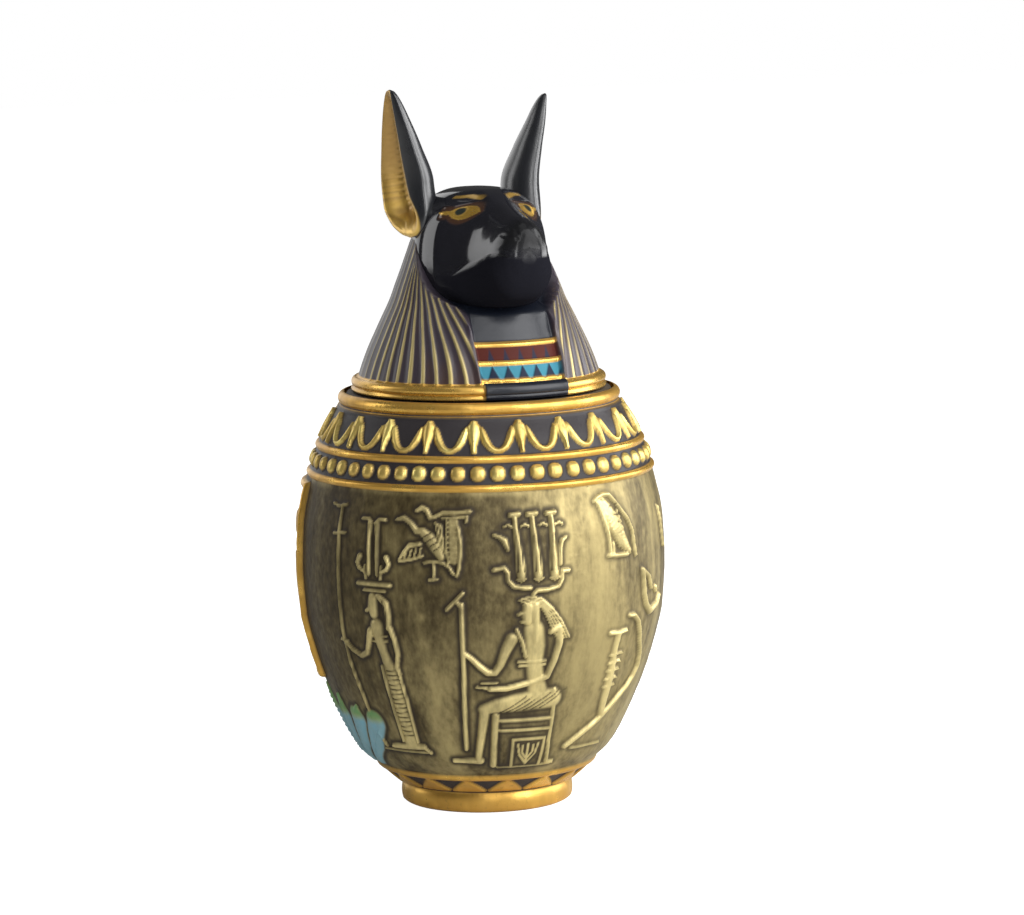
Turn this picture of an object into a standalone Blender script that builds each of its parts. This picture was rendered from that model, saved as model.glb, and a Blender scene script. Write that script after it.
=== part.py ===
"""A cast resin canopic jar, 260 mm tall, with a lift-off lid shaped as a jackal's head.

Lengths are in metres, +Z is up, and the origin is the middle of the underside.
The jackal faces -Y.  The jar is a turned, hollow vessel whose wall carries raised
figures, bead and lotus bands and a row of triangles above the foot.  The lid is a
striped wig on a round flange, with the head, two tall ears and a banded collar, and
it is cast hollow under the wig.
"""

import math

import bmesh
import bpy
from mathutils import Matrix, Vector

MM = 0.001

# Overall sizes
HEIGHT = 260.0 * MM
WALL_THICKNESS = 6.0 * MM
LID_GAP = 0.3 * MM

# Foot
FOOT_RADIUS = 30.0 * MM
FOOT_BAND_TOP = 7.0 * MM
TRIANGLE_COUNT = 16
TRIANGLE_LOW = 8.6 * MM
TRIANGLE_HIGH = 13.6 * MM

# Bands round the shoulder
LOWER_RING_Z = 14.6 * MM
BEAD_RING_LOW_Z = 123.6 * MM
BEAD_RING_HIGH_Z = 133.5 * MM
BEAD_Z = 128.6 * MM
BEAD_COUNT = 54
BEAD_RADIUS = 2.7 * MM
BEAD_RISE = 1.7 * MM
LOTUS_COUNT = 21
LOTUS_LOW = 135.4 * MM
LOTUS_HIGH = 145.6 * MM
RING_RISE = 1.3 * MM
RING_HALF = 1.1 * MM

# Mouth and rim
RIM_LOW = 148.0 * MM
RIM_TOP = 152.6 * MM
RIM_RADIUS = 51.8 * MM
MOUTH_RADIUS = 40.5 * MM
SPIGOT_CLEARANCE = 0.8 * MM
SPIGOT_DEPTH = 6.0 * MM
SPIGOT_THICKNESS = 4.0 * MM

# Lid
LID_DATUM = 152.9 * MM
FLANGE_TOP = 158.0 * MM
FLANGE_RADIUS = 46.5 * MM
FLANGE_SHOULDER = 1.0 * MM
WIG_FLUTES = 22
WIG_FLUTE_DEPTH = 0.5 * MM
CHEST_HALF_WIDTH = 16.0 * MM
CHEST_RECESS = 1.6 * MM
CHEST_BLOCK_RISE = 0.6 * MM
COLLAR_LINES = (172.4 * MM, 166.0 * MM, 158.9 * MM)
EAR_FACING = math.radians(75.0)
EAR_ROOT = 207.0 * MM
LEFT_EAR_STRETCH = 1.045
RIGHT_EAR_STRETCH = 0.982
HOLLOW_WALL = 9.0 * MM
HOLLOW_SHOULDER = 194.0 * MM
HOLLOW_TOP = 199.0 * MM

# Facets round the turned forms
JAR_STEPS = 28
INNER_STEPS = 16
LID_STEPS = 28

# Relief
FIGURE_RISE = 1.3 * MM
SUNK = 0.9 * MM

# Outer wall from the foot to the rim: height above the underside and radius, in mm
WALL = (
    (7.6, 30.9), (9.4, 33.2), (14.0, 38.4), (20.7, 45.8), (28.2, 50.5), (37.0, 54.7), (48.0, 59.3),
    (60.0, 63.2), (73.3, 66.2), (90.0, 67.2), (105.0, 66.6), (118.0, 64.2), (130.0, 60.6),
    (139.5, 56.4), (146.5, 52.2),
)

# Wig surface from the flange to the crown: height and radius, in mm
WIG = (
    (157.0, 44.0), (162.4, 42.6), (172.0, 38.6), (185.6, 32.0), (197.1, 27.6), (209.0, 23.0),
    (217.0, 16.0),
)

JAR_GOLD = (0.42, 0.34, 0.14, 1.0)
BLACK_GLOSS = (0.02, 0.02, 0.025, 1.0)


def clear_scene():
    """Remove every object the start-up scene holds."""
    for obj in list(bpy.data.objects):
        bpy.data.objects.remove(obj, do_unlink=True)


def material(name, color, roughness, metallic):
    """Return a Principled material."""
    mat = bpy.data.materials.new(name)
    mat.use_nodes = True
    shader = mat.node_tree.nodes["Principled BSDF"]
    shader.inputs["Base Color"].default_value = color
    shader.inputs["Roughness"].default_value = roughness
    shader.inputs["Metallic"].default_value = metallic
    return mat


def along(table, z):
    """Return the radius a table of heights and radii in mm gives at height z, in metres."""
    z_mm = z / MM
    if z_mm <= table[0][0]:
        return table[0][1] * MM
    for (z0, r0), (z1, r1) in zip(table, table[1:]):
        if z_mm <= z1:
            return (r0 + (r1 - r0) * (z_mm - z0) / (z1 - z0)) * MM
    return table[-1][1] * MM


def wall_radius(z):
    """Return the jar's outer radius at height z."""
    return along(WALL, z)


def wig_radius(z):
    """Return the wig's radius at height z."""
    return along(WIG, z)


def chest_radius(z):
    """Return the radius of the recessed chest at height z."""
    return along(WIG, z) - CHEST_RECESS


def on_surface(radius_at, theta, z, lift):
    """Return a point that stands `lift` outside a turned surface, theta in radians from -Y."""
    step = 0.5 * MM
    slope = (radius_at(z + step) - radius_at(z - step)) / (2.0 * step)
    length = math.hypot(1.0, slope)
    radius = radius_at(z) + lift / length
    height = z - lift * slope / length
    return Vector((radius * math.sin(theta), -radius * math.cos(theta), height))


def new_object(name, mesh, collection):
    """Link a mesh as an object in a collection."""
    obj = bpy.data.objects.new(name, mesh)
    collection.objects.link(obj)
    return obj


def finish_bmesh(name, bm, collection):
    """Turn a bmesh of closed shells into an object with outward faces."""
    bmesh.ops.recalc_face_normals(bm, faces=bm.faces)
    mesh = bpy.data.meshes.new(name)
    bm.to_mesh(mesh)
    bm.free()
    return new_object(name, mesh, collection)


def lathe(name, profile, steps, collection):
    """Turn a closed outline of (radius, height) points, given in metres, round Z with a Screw."""
    mesh = bpy.data.meshes.new(name + "_outline")
    verts = [(r, 0.0, z) for r, z in profile]
    edges = [(i, i + 1) for i in range(len(verts) - 1)]
    mesh.from_pydata(verts, edges, [])
    obj = new_object(name, mesh, collection)
    screw = obj.modifiers.new("turn", "SCREW")
    screw.axis = "Z"
    screw.angle = math.tau
    screw.steps = steps
    screw.render_steps = steps
    screw.use_merge_vertices = True
    screw.merge_threshold = 0.00001
    screw.use_smooth_shade = True
    return obj


def flatten(obj):
    """Replace an object's mesh with its evaluated mesh."""
    depsgraph = bpy.context.evaluated_depsgraph_get()
    mesh = bpy.data.meshes.new_from_object(obj.evaluated_get(depsgraph))
    obj.modifiers.clear()
    obj.data = mesh


def boolean(target, other, operation, own_crossings):
    """Join or cut `target` with `other`, then remove `other`."""
    mod = target.modifiers.new(operation.lower(), "BOOLEAN")
    mod.operation = operation
    mod.object = other
    mod.solver = "EXACT"
    mod.use_self = own_crossings
    flatten(target)
    bpy.data.objects.remove(other, do_unlink=True)


def ridge(bm, radius_at, path, half_width, rise, flat=0.0):
    """Raise a stroke on a turned surface.

    path holds (theta, z) points; half_width is one width or one for each point.  With flat
    at 0 the stroke is a sharp ridge, and otherwise its top is flat over that share of it.
    """
    widths = half_width if isinstance(half_width, (list, tuple)) else [half_width] * len(path)
    rings = []
    for index, (theta, z) in enumerate(path):
        before = path[max(index - 1, 0)]
        after = path[min(index + 1, len(path) - 1)]
        radius = radius_at(z)
        run = Vector(((after[0] - before[0]) * radius, after[1] - before[1])).normalized()
        side = Vector((-run.y, run.x))
        end_share = 0.85 if index in (0, len(path) - 1) else 1.0
        ring = []
        if flat:
            section = ((-1.0, -SUNK), (-flat, rise * end_share), (flat, rise * end_share), (1.0, -SUNK))
        else:
            section = ((-1.0, -SUNK), (0.0, rise * end_share), (1.0, -SUNK))
        for across, lift in section:
            offset = side * (across * widths[index])
            ring.append(bm.verts.new(on_surface(radius_at, theta + offset.x / radius, z + offset.y, lift)))
        rings.append(ring)
    count = len(rings[0])
    for first, second in zip(rings, rings[1:]):
        for k in range(count):
            bm.faces.new((first[k], first[(k + 1) % count], second[(k + 1) % count], second[k]))
    bm.faces.new(rings[0][::-1])
    bm.faces.new(rings[-1])


def patch(bm, radius_at, span, low, high, lift, columns, rows):
    """Raise a slab with even thickness over a span of angles and heights."""
    layers = []
    for height in (-SUNK, lift):
        grid = []
        for i in range(columns + 1):
            theta = span[0] + (span[1] - span[0]) * i / columns
            column = []
            for j in range(rows + 1):
                z = low + (high - low) * j / rows
                column.append(bm.verts.new(on_surface(radius_at, theta, z, height)))
            grid.append(column)
        layers.append(grid)
    for grid in layers:
        for i in range(columns):
            for j in range(rows):
                bm.faces.new((grid[i][j], grid[i + 1][j], grid[i + 1][j + 1], grid[i][j + 1]))
    under, over = layers
    border = [(i, 0) for i in range(columns)] + [(columns, j) for j in range(rows)]
    border += [(i, rows) for i in range(columns, 0, -1)] + [(0, j) for j in range(rows, 0, -1)]
    for (i0, j0), (i1, j1) in zip(border, border[1:] + border[:1]):
        bm.faces.new((under[i0][j0], under[i1][j1], over[i1][j1], over[i0][j0]))


class Figure:
    """Strokes drawn on the unrolled wall, in degrees from a middle and mm above a ground line."""

    def __init__(self, bm, middle_deg, ground_mm, mirrored=False):
        self.bm = bm
        self.middle = middle_deg
        self.ground = ground_mm
        self.sign = -1.0 if mirrored else 1.0
        self.count = 0

    def place(self, point):
        """Return theta and z of a drawn point."""
        theta = math.radians(self.middle + self.sign * point[0])
        return theta, (self.ground + point[1]) * MM

    def line(self, points, half_mm, rise_mm=1.3):
        """Raise a sharp stroke; each one differs a little in height so that tops never coincide."""
        self.count += 1
        rise = (rise_mm + 0.013 * (self.count % 9)) * MM
        widths = [half_mm * MM] * len(points)
        ridge(self.bm, wall_radius, [self.place(p) for p in points], widths, rise)

    def limb(self, points, halves_mm, rise_mm=1.4):
        """Raise a flat-topped stroke that changes width."""
        self.count += 1
        rise = (rise_mm + 0.017 * (self.count % 7)) * MM
        widths = [h * MM for h in halves_mm]
        ridge(self.bm, wall_radius, [self.place(p) for p in points], widths, rise, flat=0.45)

    def slab(self, left, right, low, high, rise_mm, columns, rows):
        """Raise a plain field behind the strokes."""
        ends = sorted((self.place((left, 0))[0], self.place((right, 0))[0]))
        self.count += 1
        rise = (rise_mm + 0.011 * self.count) * MM
        patch(self.bm, wall_radius, ends, (self.ground + low) * MM, (self.ground + high) * MM, rise, columns, rows)


def seated_figure(bm, middle_deg, ground_mm, mirrored=False):
    """An enthroned figure in profile with a triple crown and a long staff."""
    fig = Figure(bm, middle_deg, ground_mm, mirrored)
    # Throne with its inner field
    fig.slab(-8.4, 12.2, 0.6, 19.4, 0.55, 2, 2)
    fig.line([(11.2, 30), (12.4, 20), (12.8, 10), (14.2, 1.2)], 1.1)
    fig.line([(-2.2, 1.0), (-2.2, 11.3), (10.4, 11.3)], 0.8)
    # Legs, foot and lap
    fig.limb([(-13.6, 23), (-15.1, 13.3), (-16.6, 2.2)], (2.0, 1.7, 1.7))
    fig.limb([(-27.0, 3.0), (-15.4, 2.3)], (1.0, 1.5))
    fig.limb([(-9.4, 20.5), (-10.1, 0.8)], (1.4, 1.4))
    fig.limb([(-13.8, 24), (-4.0, 25.5), (5.5, 27), (11.0, 27.0)], (2.4, 3.8, 4.4, 4.2))
    # Body
    fig.limb([(2.8, 53), (3.4, 41), (4.4, 30)], (4.4, 4.2, 4.6), 0.8)
    fig.line([(-3.0, 53.3), (-1.1, 48.7), (0.1, 43.3)], 1.1)
    fig.line([(-2.2, 41.0), (7.0, 41.0)], 0.7)
    # Arms
    fig.limb([(-18.4, 44), (-14.5, 40), (-11.0, 37.7), (-8.0, 41), (-5.0, 49)], (1.1, 1.3, 1.5, 1.8, 2.7))
    fig.limb([(8.0, 53), (11.4, 50), (10.2, 42), (7.6, 35.2), (-6.1, 31.5), (-15.7, 32)],
             (1.4, 1.8, 1.6, 1.5, 1.2, 0.7))
    # Head and wig
    fig.limb([(-0.5, 63.0), (-0.9, 55.5)], (2.1, 1.7), 1.5)
    fig.line([(-4.0, 58.4), (-1.4, 59.6)], 0.9)
    fig.limb([(2.9, 62), (2.9, 49)], (2.0, 1.7), 1.2)
    fig.line([(-2.0, 63.7), (1.6, 65.2), (4.7, 64.3), (7.8, 60.7), (11.2, 55.3), (14.3, 48.7)], 1.1)
    # Staff
    fig.line([(-19.6, 63), (-19.6, 40), (-21.1, 8)], 1.2)
    fig.line([(-24.1, 61.3), (-21.4, 64.6), (-19.4, 67)], 1.1)
    # Triple crown with horns and rearing snakes
    for top, foot in ((-2.8, -1.2), (2.8, 4.2), (8.9, 9.3)):
        middle = 0.5 * (top + foot)
        fig.limb([(top, 92.5), (middle, 84), (foot, 72.0)], (1.3, 1.9, 2.3))
        fig.line([(top - 1.7, 94.3), (top + 1.7, 94.3)], 1.3)
    fig.line([(-9.4, 87.5), (-6.8, 86), (-5.2, 82.3)], 1.1)
    fig.line([(-9.5, 75.3), (-6.4, 75.8), (-4.9, 69.6), (1.4, 68.0)], 1.2)
    fig.line([(13.2, 85.3), (11.6, 83), (11.4, 75.6)], 1.1)
    fig.line([(13.5, 73.6), (11.7, 73.0), (10.6, 68.6), (3.6, 67.2), (2.2, 65.9)], 1.2)
    fig.line([(-6.3, 90.7), (11.2, 90.1)], 0.7)


def standing_figure(bm, middle_deg, ground_mm, mirrored=False):
    """A standing figure in a long dress with tall plumes and a thin staff."""
    fig = Figure(bm, middle_deg, ground_mm, mirrored)
    # Plumes, side snakes and the bar under them
    for side in (-1.0, 1.0):
        fig.line([(side * 1.6 - 0.1, 86), (side * 1.6 - 0.1, 64.5)], 1.0)
        fig.line([(side * 4.2, 86.4), (side * 1.3, 86.0)], 0.9)
        fig.line([(side * 5.0, 72.6), (side * 6.0, 69.4), (side * 3.2, 66.3)], 1.0)
    fig.line([(-5.8, 63.1), (6.1, 63.1)], 1.1)
    # Head, body and dress
    fig.limb([(-0.8, 59.0), (-0.4, 51.5)], (2.6, 2.3), 1.4)
    fig.line([(-3.7, 52.8), (-1.5, 54.2)], 1.0)
    fig.limb([(2.8, 58.0), (4.8, 53), (4.8, 47.5)], (1.4, 1.4, 1.2))
    fig.limb([(0.6, 48.5), (1.4, 40), (3.0, 32), (4.0, 18), (4.2, 3)], (3.4, 2.6, 3.6, 3.8, 4.0), 1.0)
    for step in range(3):
        z = 28.0 - 9.0 * step
        fig.line([(0.4, z), (7.2, z + 0.4)], 0.7, 1.5)
    # Arms, staff and feet
    fig.limb([(-2.2, 44), (-4.9, 37.4), (-8.4, 36.3), (-13.9, 40.7)], (1.6, 1.3, 1.3, 1.0))
    fig.limb([(5.2, 47), (6.9, 40), (5.8, 32)], (1.3, 1.2, 1.1))
    fig.line([(-14.1, 90), (-14.5, 54), (-14.1, 34), (-12.2, 14), (-10.0, 1)], 0.9)
    fig.line([(-18.6, 90.2), (-12.5, 90.2)], 0.8)
    fig.line([(-17.0, 80), (-11.6, 80.4)], 0.8)
    fig.limb([(-5.8, 1.4), (9.2, 2.0)], (1.3, 1.3))


def flying_vulture(bm, middle_deg, ground_mm, mirrored=False):
    """A vulture with spread wings."""
    fig = Figure(bm, middle_deg, ground_mm, mirrored)
    fig.line([(-12.1, 21.7), (-9.6, 22.4), (-7.1, 20.3), (-3.3, 17.9)], 1.2)
    fig.line([(-11, 7.3), (-7.6, 12.6), (-4.0, 13.2)], 1.0)
    fig.line([(-10.8, 7.1), (-3.3, 9.2)], 0.9)
    fig.line([(-5.4, 25), (-3.4, 26), (-1.3, 22.9)], 1.1)
    fig.line([(-1.3, 22.6), (2.7, 24.2), (11.4, 24.7)], 1.2)
    fig.line([(7.6, 19.5), (8.4, 12), (7.3, 2.2)], 1.1)
    fig.line([(4.3, 22.4), (4.5, 5.4)], 0.8)
    for step in range(4):
        z = 20.5 - 3.9 * step
        fig.line([(4.2, z), (8.0, z + 0.1)], 0.6)
    fig.limb([(-3.0, 18), (0, 14), (2.2, 9.4)], (2.4, 3.0, 2.2))
    fig.line([(-2.6, 7.0), (3.4, 6.6), (7.3, 2.5)], 0.9)
    fig.line([(0.0, 7.3), (0.0, 0.8)], 0.9)


def perched_hawk(bm, middle_deg, ground_mm, mirrored=False):
    """A hawk on a short bar."""
    fig = Figure(bm, middle_deg, ground_mm, mirrored)
    fig.line([(-7.6, 20.7), (-5.0, 22.2), (-1.3, 22.6), (3.4, 16.4), (7.5, 8), (8.7, -0.7)], 1.1)
    fig.line([(-6.0, 19.5), (-4.2, 12), (-3.2, 1.0)], 1.1)
    fig.limb([(-2.4, 18.5), (0.6, 12), (3.8, 6)], (2.8, 3.6, 2.4), 1.0)
    fig.line([(-1.0, 13.3), (2, 7.3), (5.3, 3.3)], 0.9)
    fig.line([(-3.9, 0.8), (4.5, 0.2)], 1.1)


def offering_group(bm, middle_deg, ground_mm, mirrored=False):
    """A ribbed stand, a bent staff round it and a spouted bowl above."""
    fig = Figure(bm, middle_deg, ground_mm, mirrored)
    fig.line([(3, 48.5), (7, 46), (10.5, 38), (13.8, 28), (10, 21), (-3, 9.5), (-16, 1.5)], 1.2)
    fig.line([(-6, 43.2), (1.2, 43.2)], 1.1)
    fig.limb([(-2.3, 42), (-2.2, 27), (-2.0, 13)], (1.6, 2.2, 1.8))
    for step in range(3):
        z = 34.0 - 4.0 * step
        fig.line([(-4.4, z), (0.8, z + 0.3)], 0.7, 1.7)
    fig.line([(8.8, 64.3), (9.8, 55), (14.7, 47.9), (20.0, 49.7), (21.8, 53)], 1.5)
    fig.line([(9.0, 64.0), (13.0, 60.4), (14.2, 55.5)], 1.1)


def framed_panel(bm, middle_deg):
    """A raised field with a heavy frame, over a fan of broad leaves."""
    half, low, high = 27.0, 50.0, 119.0
    fig = Figure(bm, middle_deg, 0.0)
    fig.slab(-half, half, low, high, 0.8, 4, 4)
    rows = 4
    for side in (-1.0, 1.0):
        fig.limb([(side * half, low + (high - low) * k / rows) for k in range(rows + 1)], [1.9] * (rows + 1), 2.3)
    for z in (low, high):
        fig.limb([(-half - 1.2 + (2.0 * half + 2.4) * k / 5, z) for k in range(6)], [1.8] * 6, 2.35)
    # Winged disc, upright stem and two plumes on the field
    for side in (-1.0, 1.0):
        fig.limb([(side * 2.5, 103), (side * 11, 107), (side * 21, 102)], (2.4, 3.2, 1.2), 1.6)
        fig.limb([(side * 3.2, 62), (side * 6.5, 78), (side * 3.6, 94)], (1.0, 2.8, 1.2), 1.6)
    fig.limb([(0.0, 99.0), (0.0, 107.5)], (3.2, 3.2), 1.9)
    fig.limb([(0.0, 56.0), (0.0, 94.0)], (1.2, 1.2), 1.8)
    # Leaves below the frame
    for step in range(-2, 3):
        lean = step * 18.0
        fig.limb([(lean * 0.62, 22.5), (lean * 0.86, 33), (lean * 1.08, 45 - 0.5 * step * step)], (1.6, 4.4, 1.2), 0.9)


def lotus_band(bm):
    """Petals and curved leaves round the shoulder."""
    pitch = math.tau / LOTUS_COUNT
    span = LOTUS_HIGH - LOTUS_LOW
    phase = math.radians(-25.2)
    for index in range(LOTUS_COUNT):
        theta = phase + index * pitch
        ridge(bm, wall_radius, [(theta, LOTUS_HIGH), (theta, LOTUS_LOW + 0.4 * MM)], (2.1 * MM, 1.2 * MM), 1.5 * MM, 0.5)
        loop = [
            (theta + 0.15 * pitch, LOTUS_HIGH - 0.20 * span),
            (theta + 0.50 * pitch, LOTUS_LOW + 0.02 * span),
            (theta + 0.85 * pitch, LOTUS_HIGH - 0.20 * span),
        ]
        ridge(bm, wall_radius, loop, (1.0 * MM, 1.3 * MM, 1.0 * MM), 1.1 * MM)


def bead_band(bm):
    """A row of low domes."""
    phase = math.radians(-23.9)
    slope = math.atan2(wall_radius(BEAD_Z - MM) - wall_radius(BEAD_Z + MM), 2.0 * MM)
    for index in range(BEAD_COUNT):
        theta = phase + index * math.tau / BEAD_COUNT
        center = on_surface(wall_radius, theta, BEAD_Z, 0.5 * (BEAD_RISE - SUNK))
        turn = Matrix.Rotation(theta, 4, "Z") @ Matrix.Rotation(math.pi / 2 - slope, 4, "X")
        bmesh.ops.create_cone(
            bm, cap_ends=True, segments=4, radius1=BEAD_RADIUS * 1.15, radius2=BEAD_RADIUS * 0.45,
            depth=BEAD_RISE + SUNK, matrix=Matrix.Translation(center) @ turn)


def triangle_band(bm):
    """Upright triangles above the foot, which leave dark hanging triangles between them."""
    pitch = math.tau / TRIANGLE_COUNT
    phase = math.radians(-23.0)
    for index in range(TRIANGLE_COUNT):
        theta = phase + (index + 0.5) * pitch
        wide = 0.47 * pitch * wall_radius(TRIANGLE_LOW)
        path = [(theta, TRIANGLE_LOW), (theta, TRIANGLE_HIGH + 0.6 * MM)]
        ridge(bm, wall_radius, path, (wide, 0.5 * MM), 1.1 * MM, 0.8)


def ring_steps(z, half, rise):
    """Return outline points, top to bottom, of a rounded ring raised on the wall."""
    return [
        (wall_radius(z + half), z + half),
        (wall_radius(z) + rise, z),
        (wall_radius(z - half), z - half),
    ]


def jar_outline():
    """Return the turned outline of the hollow jar, from the mouth down the outside and up the inside."""
    rings = (LOWER_RING_Z, BEAD_RING_LOW_Z, BEAD_RING_HIGH_Z)
    inner_floor = 8.0 * MM
    outline = [
        (MOUTH_RADIUS, RIM_TOP),
        (RIM_RADIUS - 1.8 * MM, RIM_TOP),
        (RIM_RADIUS, RIM_TOP - 1.4 * MM),
        (RIM_RADIUS - 0.4 * MM, RIM_LOW + 0.4 * MM),
        (wall_radius(RIM_LOW) - 0.4 * MM, RIM_LOW - 0.2 * MM),
    ]
    points = [(r * MM, z * MM) for z, r in WALL]
    for z in rings:
        outer = ring_steps(z, RING_HALF, RING_RISE)
        points = [p for p in points if abs(p[1] - z) > 2.2 * RING_HALF] + outer
    outline += sorted(points, key=lambda p: -p[1])
    outline += [
        (FOOT_RADIUS + 1.1 * MM, FOOT_BAND_TOP - 0.2 * MM),
        (FOOT_RADIUS + 1.6 * MM, FOOT_BAND_TOP - 1.6 * MM),
        (FOOT_RADIUS + 1.4 * MM, 1.5 * MM),
        (FOOT_RADIUS, 0.0),
        (0.0, 0.0),
        (0.0, inner_floor),
        (18.0 * MM, inner_floor),
    ]
    for z in (15.0, 30.0, 52.0, 76.0, 104.0, 130.0):
        outline.append((wall_radius((z - 2.0) * MM) - WALL_THICKNESS, z * MM))
    outline.append((MOUTH_RADIUS, 145.0 * MM))
    outline.append((MOUTH_RADIUS, RIM_TOP))
    return outline


def build_jar(collection, mat):
    """Model the jar with all its relief."""
    jar = lathe("jar_body", jar_outline(), JAR_STEPS, collection)
    flatten(jar)
    bm = bmesh.new()
    triangle_band(bm)
    lotus_band(bm)
    bead_band(bm)
    seated_figure(bm, -10.0, 20.0)
    standing_figure(bm, -58.5, 26.0)
    flying_vulture(bm, -38.0, 91.0)
    perched_hawk(bm, 23.0, 96.0)
    offering_group(bm, 27.0, 25.0)
    framed_panel(bm, -128.0)
    relief = finish_bmesh("relief", bm, collection)
    boolean(jar, relief, "UNION", True)
    jar.data.materials.clear()
    jar.data.materials.append(mat)
    return jar


def chest_share(theta, z):
    """Return 1 where the chest shows between the lappets and 0 on the wig."""
    return 1.0 if abs(math.sin(theta)) * wig_radius(z) < CHEST_HALF_WIDTH and math.cos(theta) > 0.0 else 0.0


def wig_solid(collection):
    """Loft the fluted wig with the recessed chest between its front lappets."""
    bm = bmesh.new()
    around = 2 * WIG_FLUTES
    rings = []
    for z_mm, r_mm in WIG:
        ring = []
        for k in range(around):
            theta = math.tau * k / around
            fade = min(1.0, r_mm / 30.0)
            radius = r_mm * MM + (WIG_FLUTE_DEPTH if k % 2 else -WIG_FLUTE_DEPTH) * fade
            if chest_share(theta, z_mm * MM):
                radius = r_mm * MM - CHEST_RECESS
            ring.append(bm.verts.new((radius * math.sin(theta), -radius * math.cos(theta), z_mm * MM)))
        rings.append(ring)
    for low, high in zip(rings, rings[1:]):
        for k in range(around):
            bm.faces.new((low[k], low[(k + 1) % around], high[(k + 1) % around], high[k]))
    bm.faces.new(rings[0][::-1])
    bm.faces.new(rings[-1])
    return finish_bmesh("lid_wig", bm, collection)


def head_solid(collection):
    """Loft the head from the back of the skull to the nose."""
    # Distance in front of the axis, half width, top and bottom heights, in mm
    sections = (
        (-20.0, 8.5, 216.0, 197.0), (-14.0, 16.5, 223.0, 187.0), (-4.0, 21.5, 226.2, 183.5),
        (8.0, 22.0, 226.5, 182.5), (18.0, 19.0, 224.5, 182.5), (26.0, 15.6, 221.5, 183.0),
        (34.0, 12.2, 219.4, 184.4), (42.0, 9.4, 218.0, 187.6), (46.0, 7.6, 216.8, 191.8),
        (48.2, 4.8, 214.6, 201.0),
    )
    bm = bmesh.new()
    count = 14
    rings = []
    for front, half, top, bottom in sections:
        ring = []
        for k in range(count):
            angle = math.tau * (k + 0.5) / count
            cosine, sine = math.cos(angle), math.sin(angle)
            power_x, power_z = (0.86, 0.86) if sine > 0.0 else (0.55, 0.66)
            x = half * math.copysign(abs(cosine) ** power_x, cosine)
            x *= 1.0 - 0.3 * min(1.0, max(0.0, (front - 16.0) / 12.0)) * min(1.0, max(0.0, sine + 0.25))
            z = 0.5 * (top + bottom) + 0.5 * (top - bottom) * math.copysign(abs(sine) ** power_z, sine)
            ring.append(bm.verts.new((x * MM, -front * MM, z * MM)))
        rings.append(ring)
    for back, fore in zip(rings, rings[1:]):
        for k in range(count):
            bm.faces.new((back[k], back[(k + 1) % count], fore[(k + 1) % count], fore[k]))
    bm.faces.new(rings[0])
    bm.faces.new(rings[-1])
    return finish_bmesh("lid_head", bm, collection)


def ear_solid(side, stretch, collection):
    """Loft one tall ear whose hollow looks outward and back; side is -1 or 1."""
    # Height, half width across the hollow, half depth, middle x and y, in mm
    sections = (
        (207.5, 4.6, 4.0, 24.0, 2.5), (211.0, 9.4, 7.2, 23.8, 3.8), (218.0, 12.2, 9.4, 23.2, 6.2),
        (228.0, 11.8, 9.0, 23.6, 7.8), (240.0, 9.2, 7.0, 26.0, 6.8), (250.0, 6.2, 4.8, 28.2, 5.4),
        (256.5, 3.7, 3.0, 29.5, 4.8), (260.0, 1.0, 0.9, 30.2, 4.3),
    )
    # Hollow from the rear rim to the thick front fold, as shares of half width and half depth
    face = ((-0.72, -0.30), (-0.10, -0.40), (0.30, -0.28), (0.52, 0.30))
    facing = Vector((side * math.sin(EAR_FACING), -math.cos(EAR_FACING), 0.0))
    across = Vector((side * facing.y, -side * facing.x, 0.0))
    convex = 6
    bm = bmesh.new()
    rings = []
    for z, half, depth, middle_x, middle_y in sections:
        height = EAR_ROOT / MM + (z - EAR_ROOT / MM) * stretch
        middle = Vector((side * middle_x, middle_y, height))
        ring = []
        for k in range(convex + 1):
            angle = math.pi * k / convex
            offset = across * (half * math.cos(angle)) - facing * (depth * math.sin(angle))
            ring.append(bm.verts.new((middle + offset) * MM))
        for u, v in face:
            ring.append(bm.verts.new((middle + across * (half * u) + facing * (depth * v)) * MM))
        rings.append(ring)
    count = len(rings[0])
    for low, high in zip(rings, rings[1:]):
        for k in range(count):
            bm.faces.new((low[k], low[(k + 1) % count], high[(k + 1) % count], high[k]))
    bm.faces.new(rings[0][::-1])
    bm.faces.new(rings[-1])
    name = "lid_ear_left" if side < 0 else "lid_ear_right"
    return finish_bmesh(name, bm, collection)


def face_details(collection):
    """Almond eyes, nose and collar lines."""
    bm = bmesh.new()
    for side in (-1.0, 1.0):
        place = Matrix.Translation(Vector((side * 14.6, -19.2, 216.6)) * MM)
        turn = Matrix.Rotation(side * math.radians(48.0), 4, "Z")
        size = Matrix.Diagonal((5.6, 2.4, 2.7, 1.0))
        bmesh.ops.create_icosphere(bm, subdivisions=1, radius=MM, matrix=place @ turn @ size)
    nose = Matrix.Translation(Vector((0.0, -46.6, 214.4)) * MM) @ Matrix.Diagonal((4.6, 3.4, 3.2, 1.0))
    bmesh.ops.create_icosphere(bm, subdivisions=1, radius=MM, matrix=nose)
    for index, z in enumerate(COLLAR_LINES):
        half = math.asin(min(0.9, (CHEST_HALF_WIDTH + 0.8 * MM) / wig_radius(z)))
        path = [(half * (-1.0 + 2.0 * k / 4), z) for k in range(5)]
        ridge(bm, chest_radius, path, 0.9 * MM, (0.8 + 0.02 * index) * MM)
    # The chest runs down over the flange to the jar's rim, rooted inside the flange's facets
    half = math.asin(CHEST_HALF_WIDTH / FLANGE_RADIUS)
    root = FLANGE_RADIUS * math.cos(math.pi / LID_STEPS) - FLANGE_SHOULDER
    rise = FLANGE_RADIUS + CHEST_BLOCK_RISE - root
    patch(bm, lambda z: root, (-half, half), LID_DATUM + 0.4 * MM, FLANGE_TOP - 0.5 * MM, rise, 4, 1)
    return finish_bmesh("lid_details", bm, collection)


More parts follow.
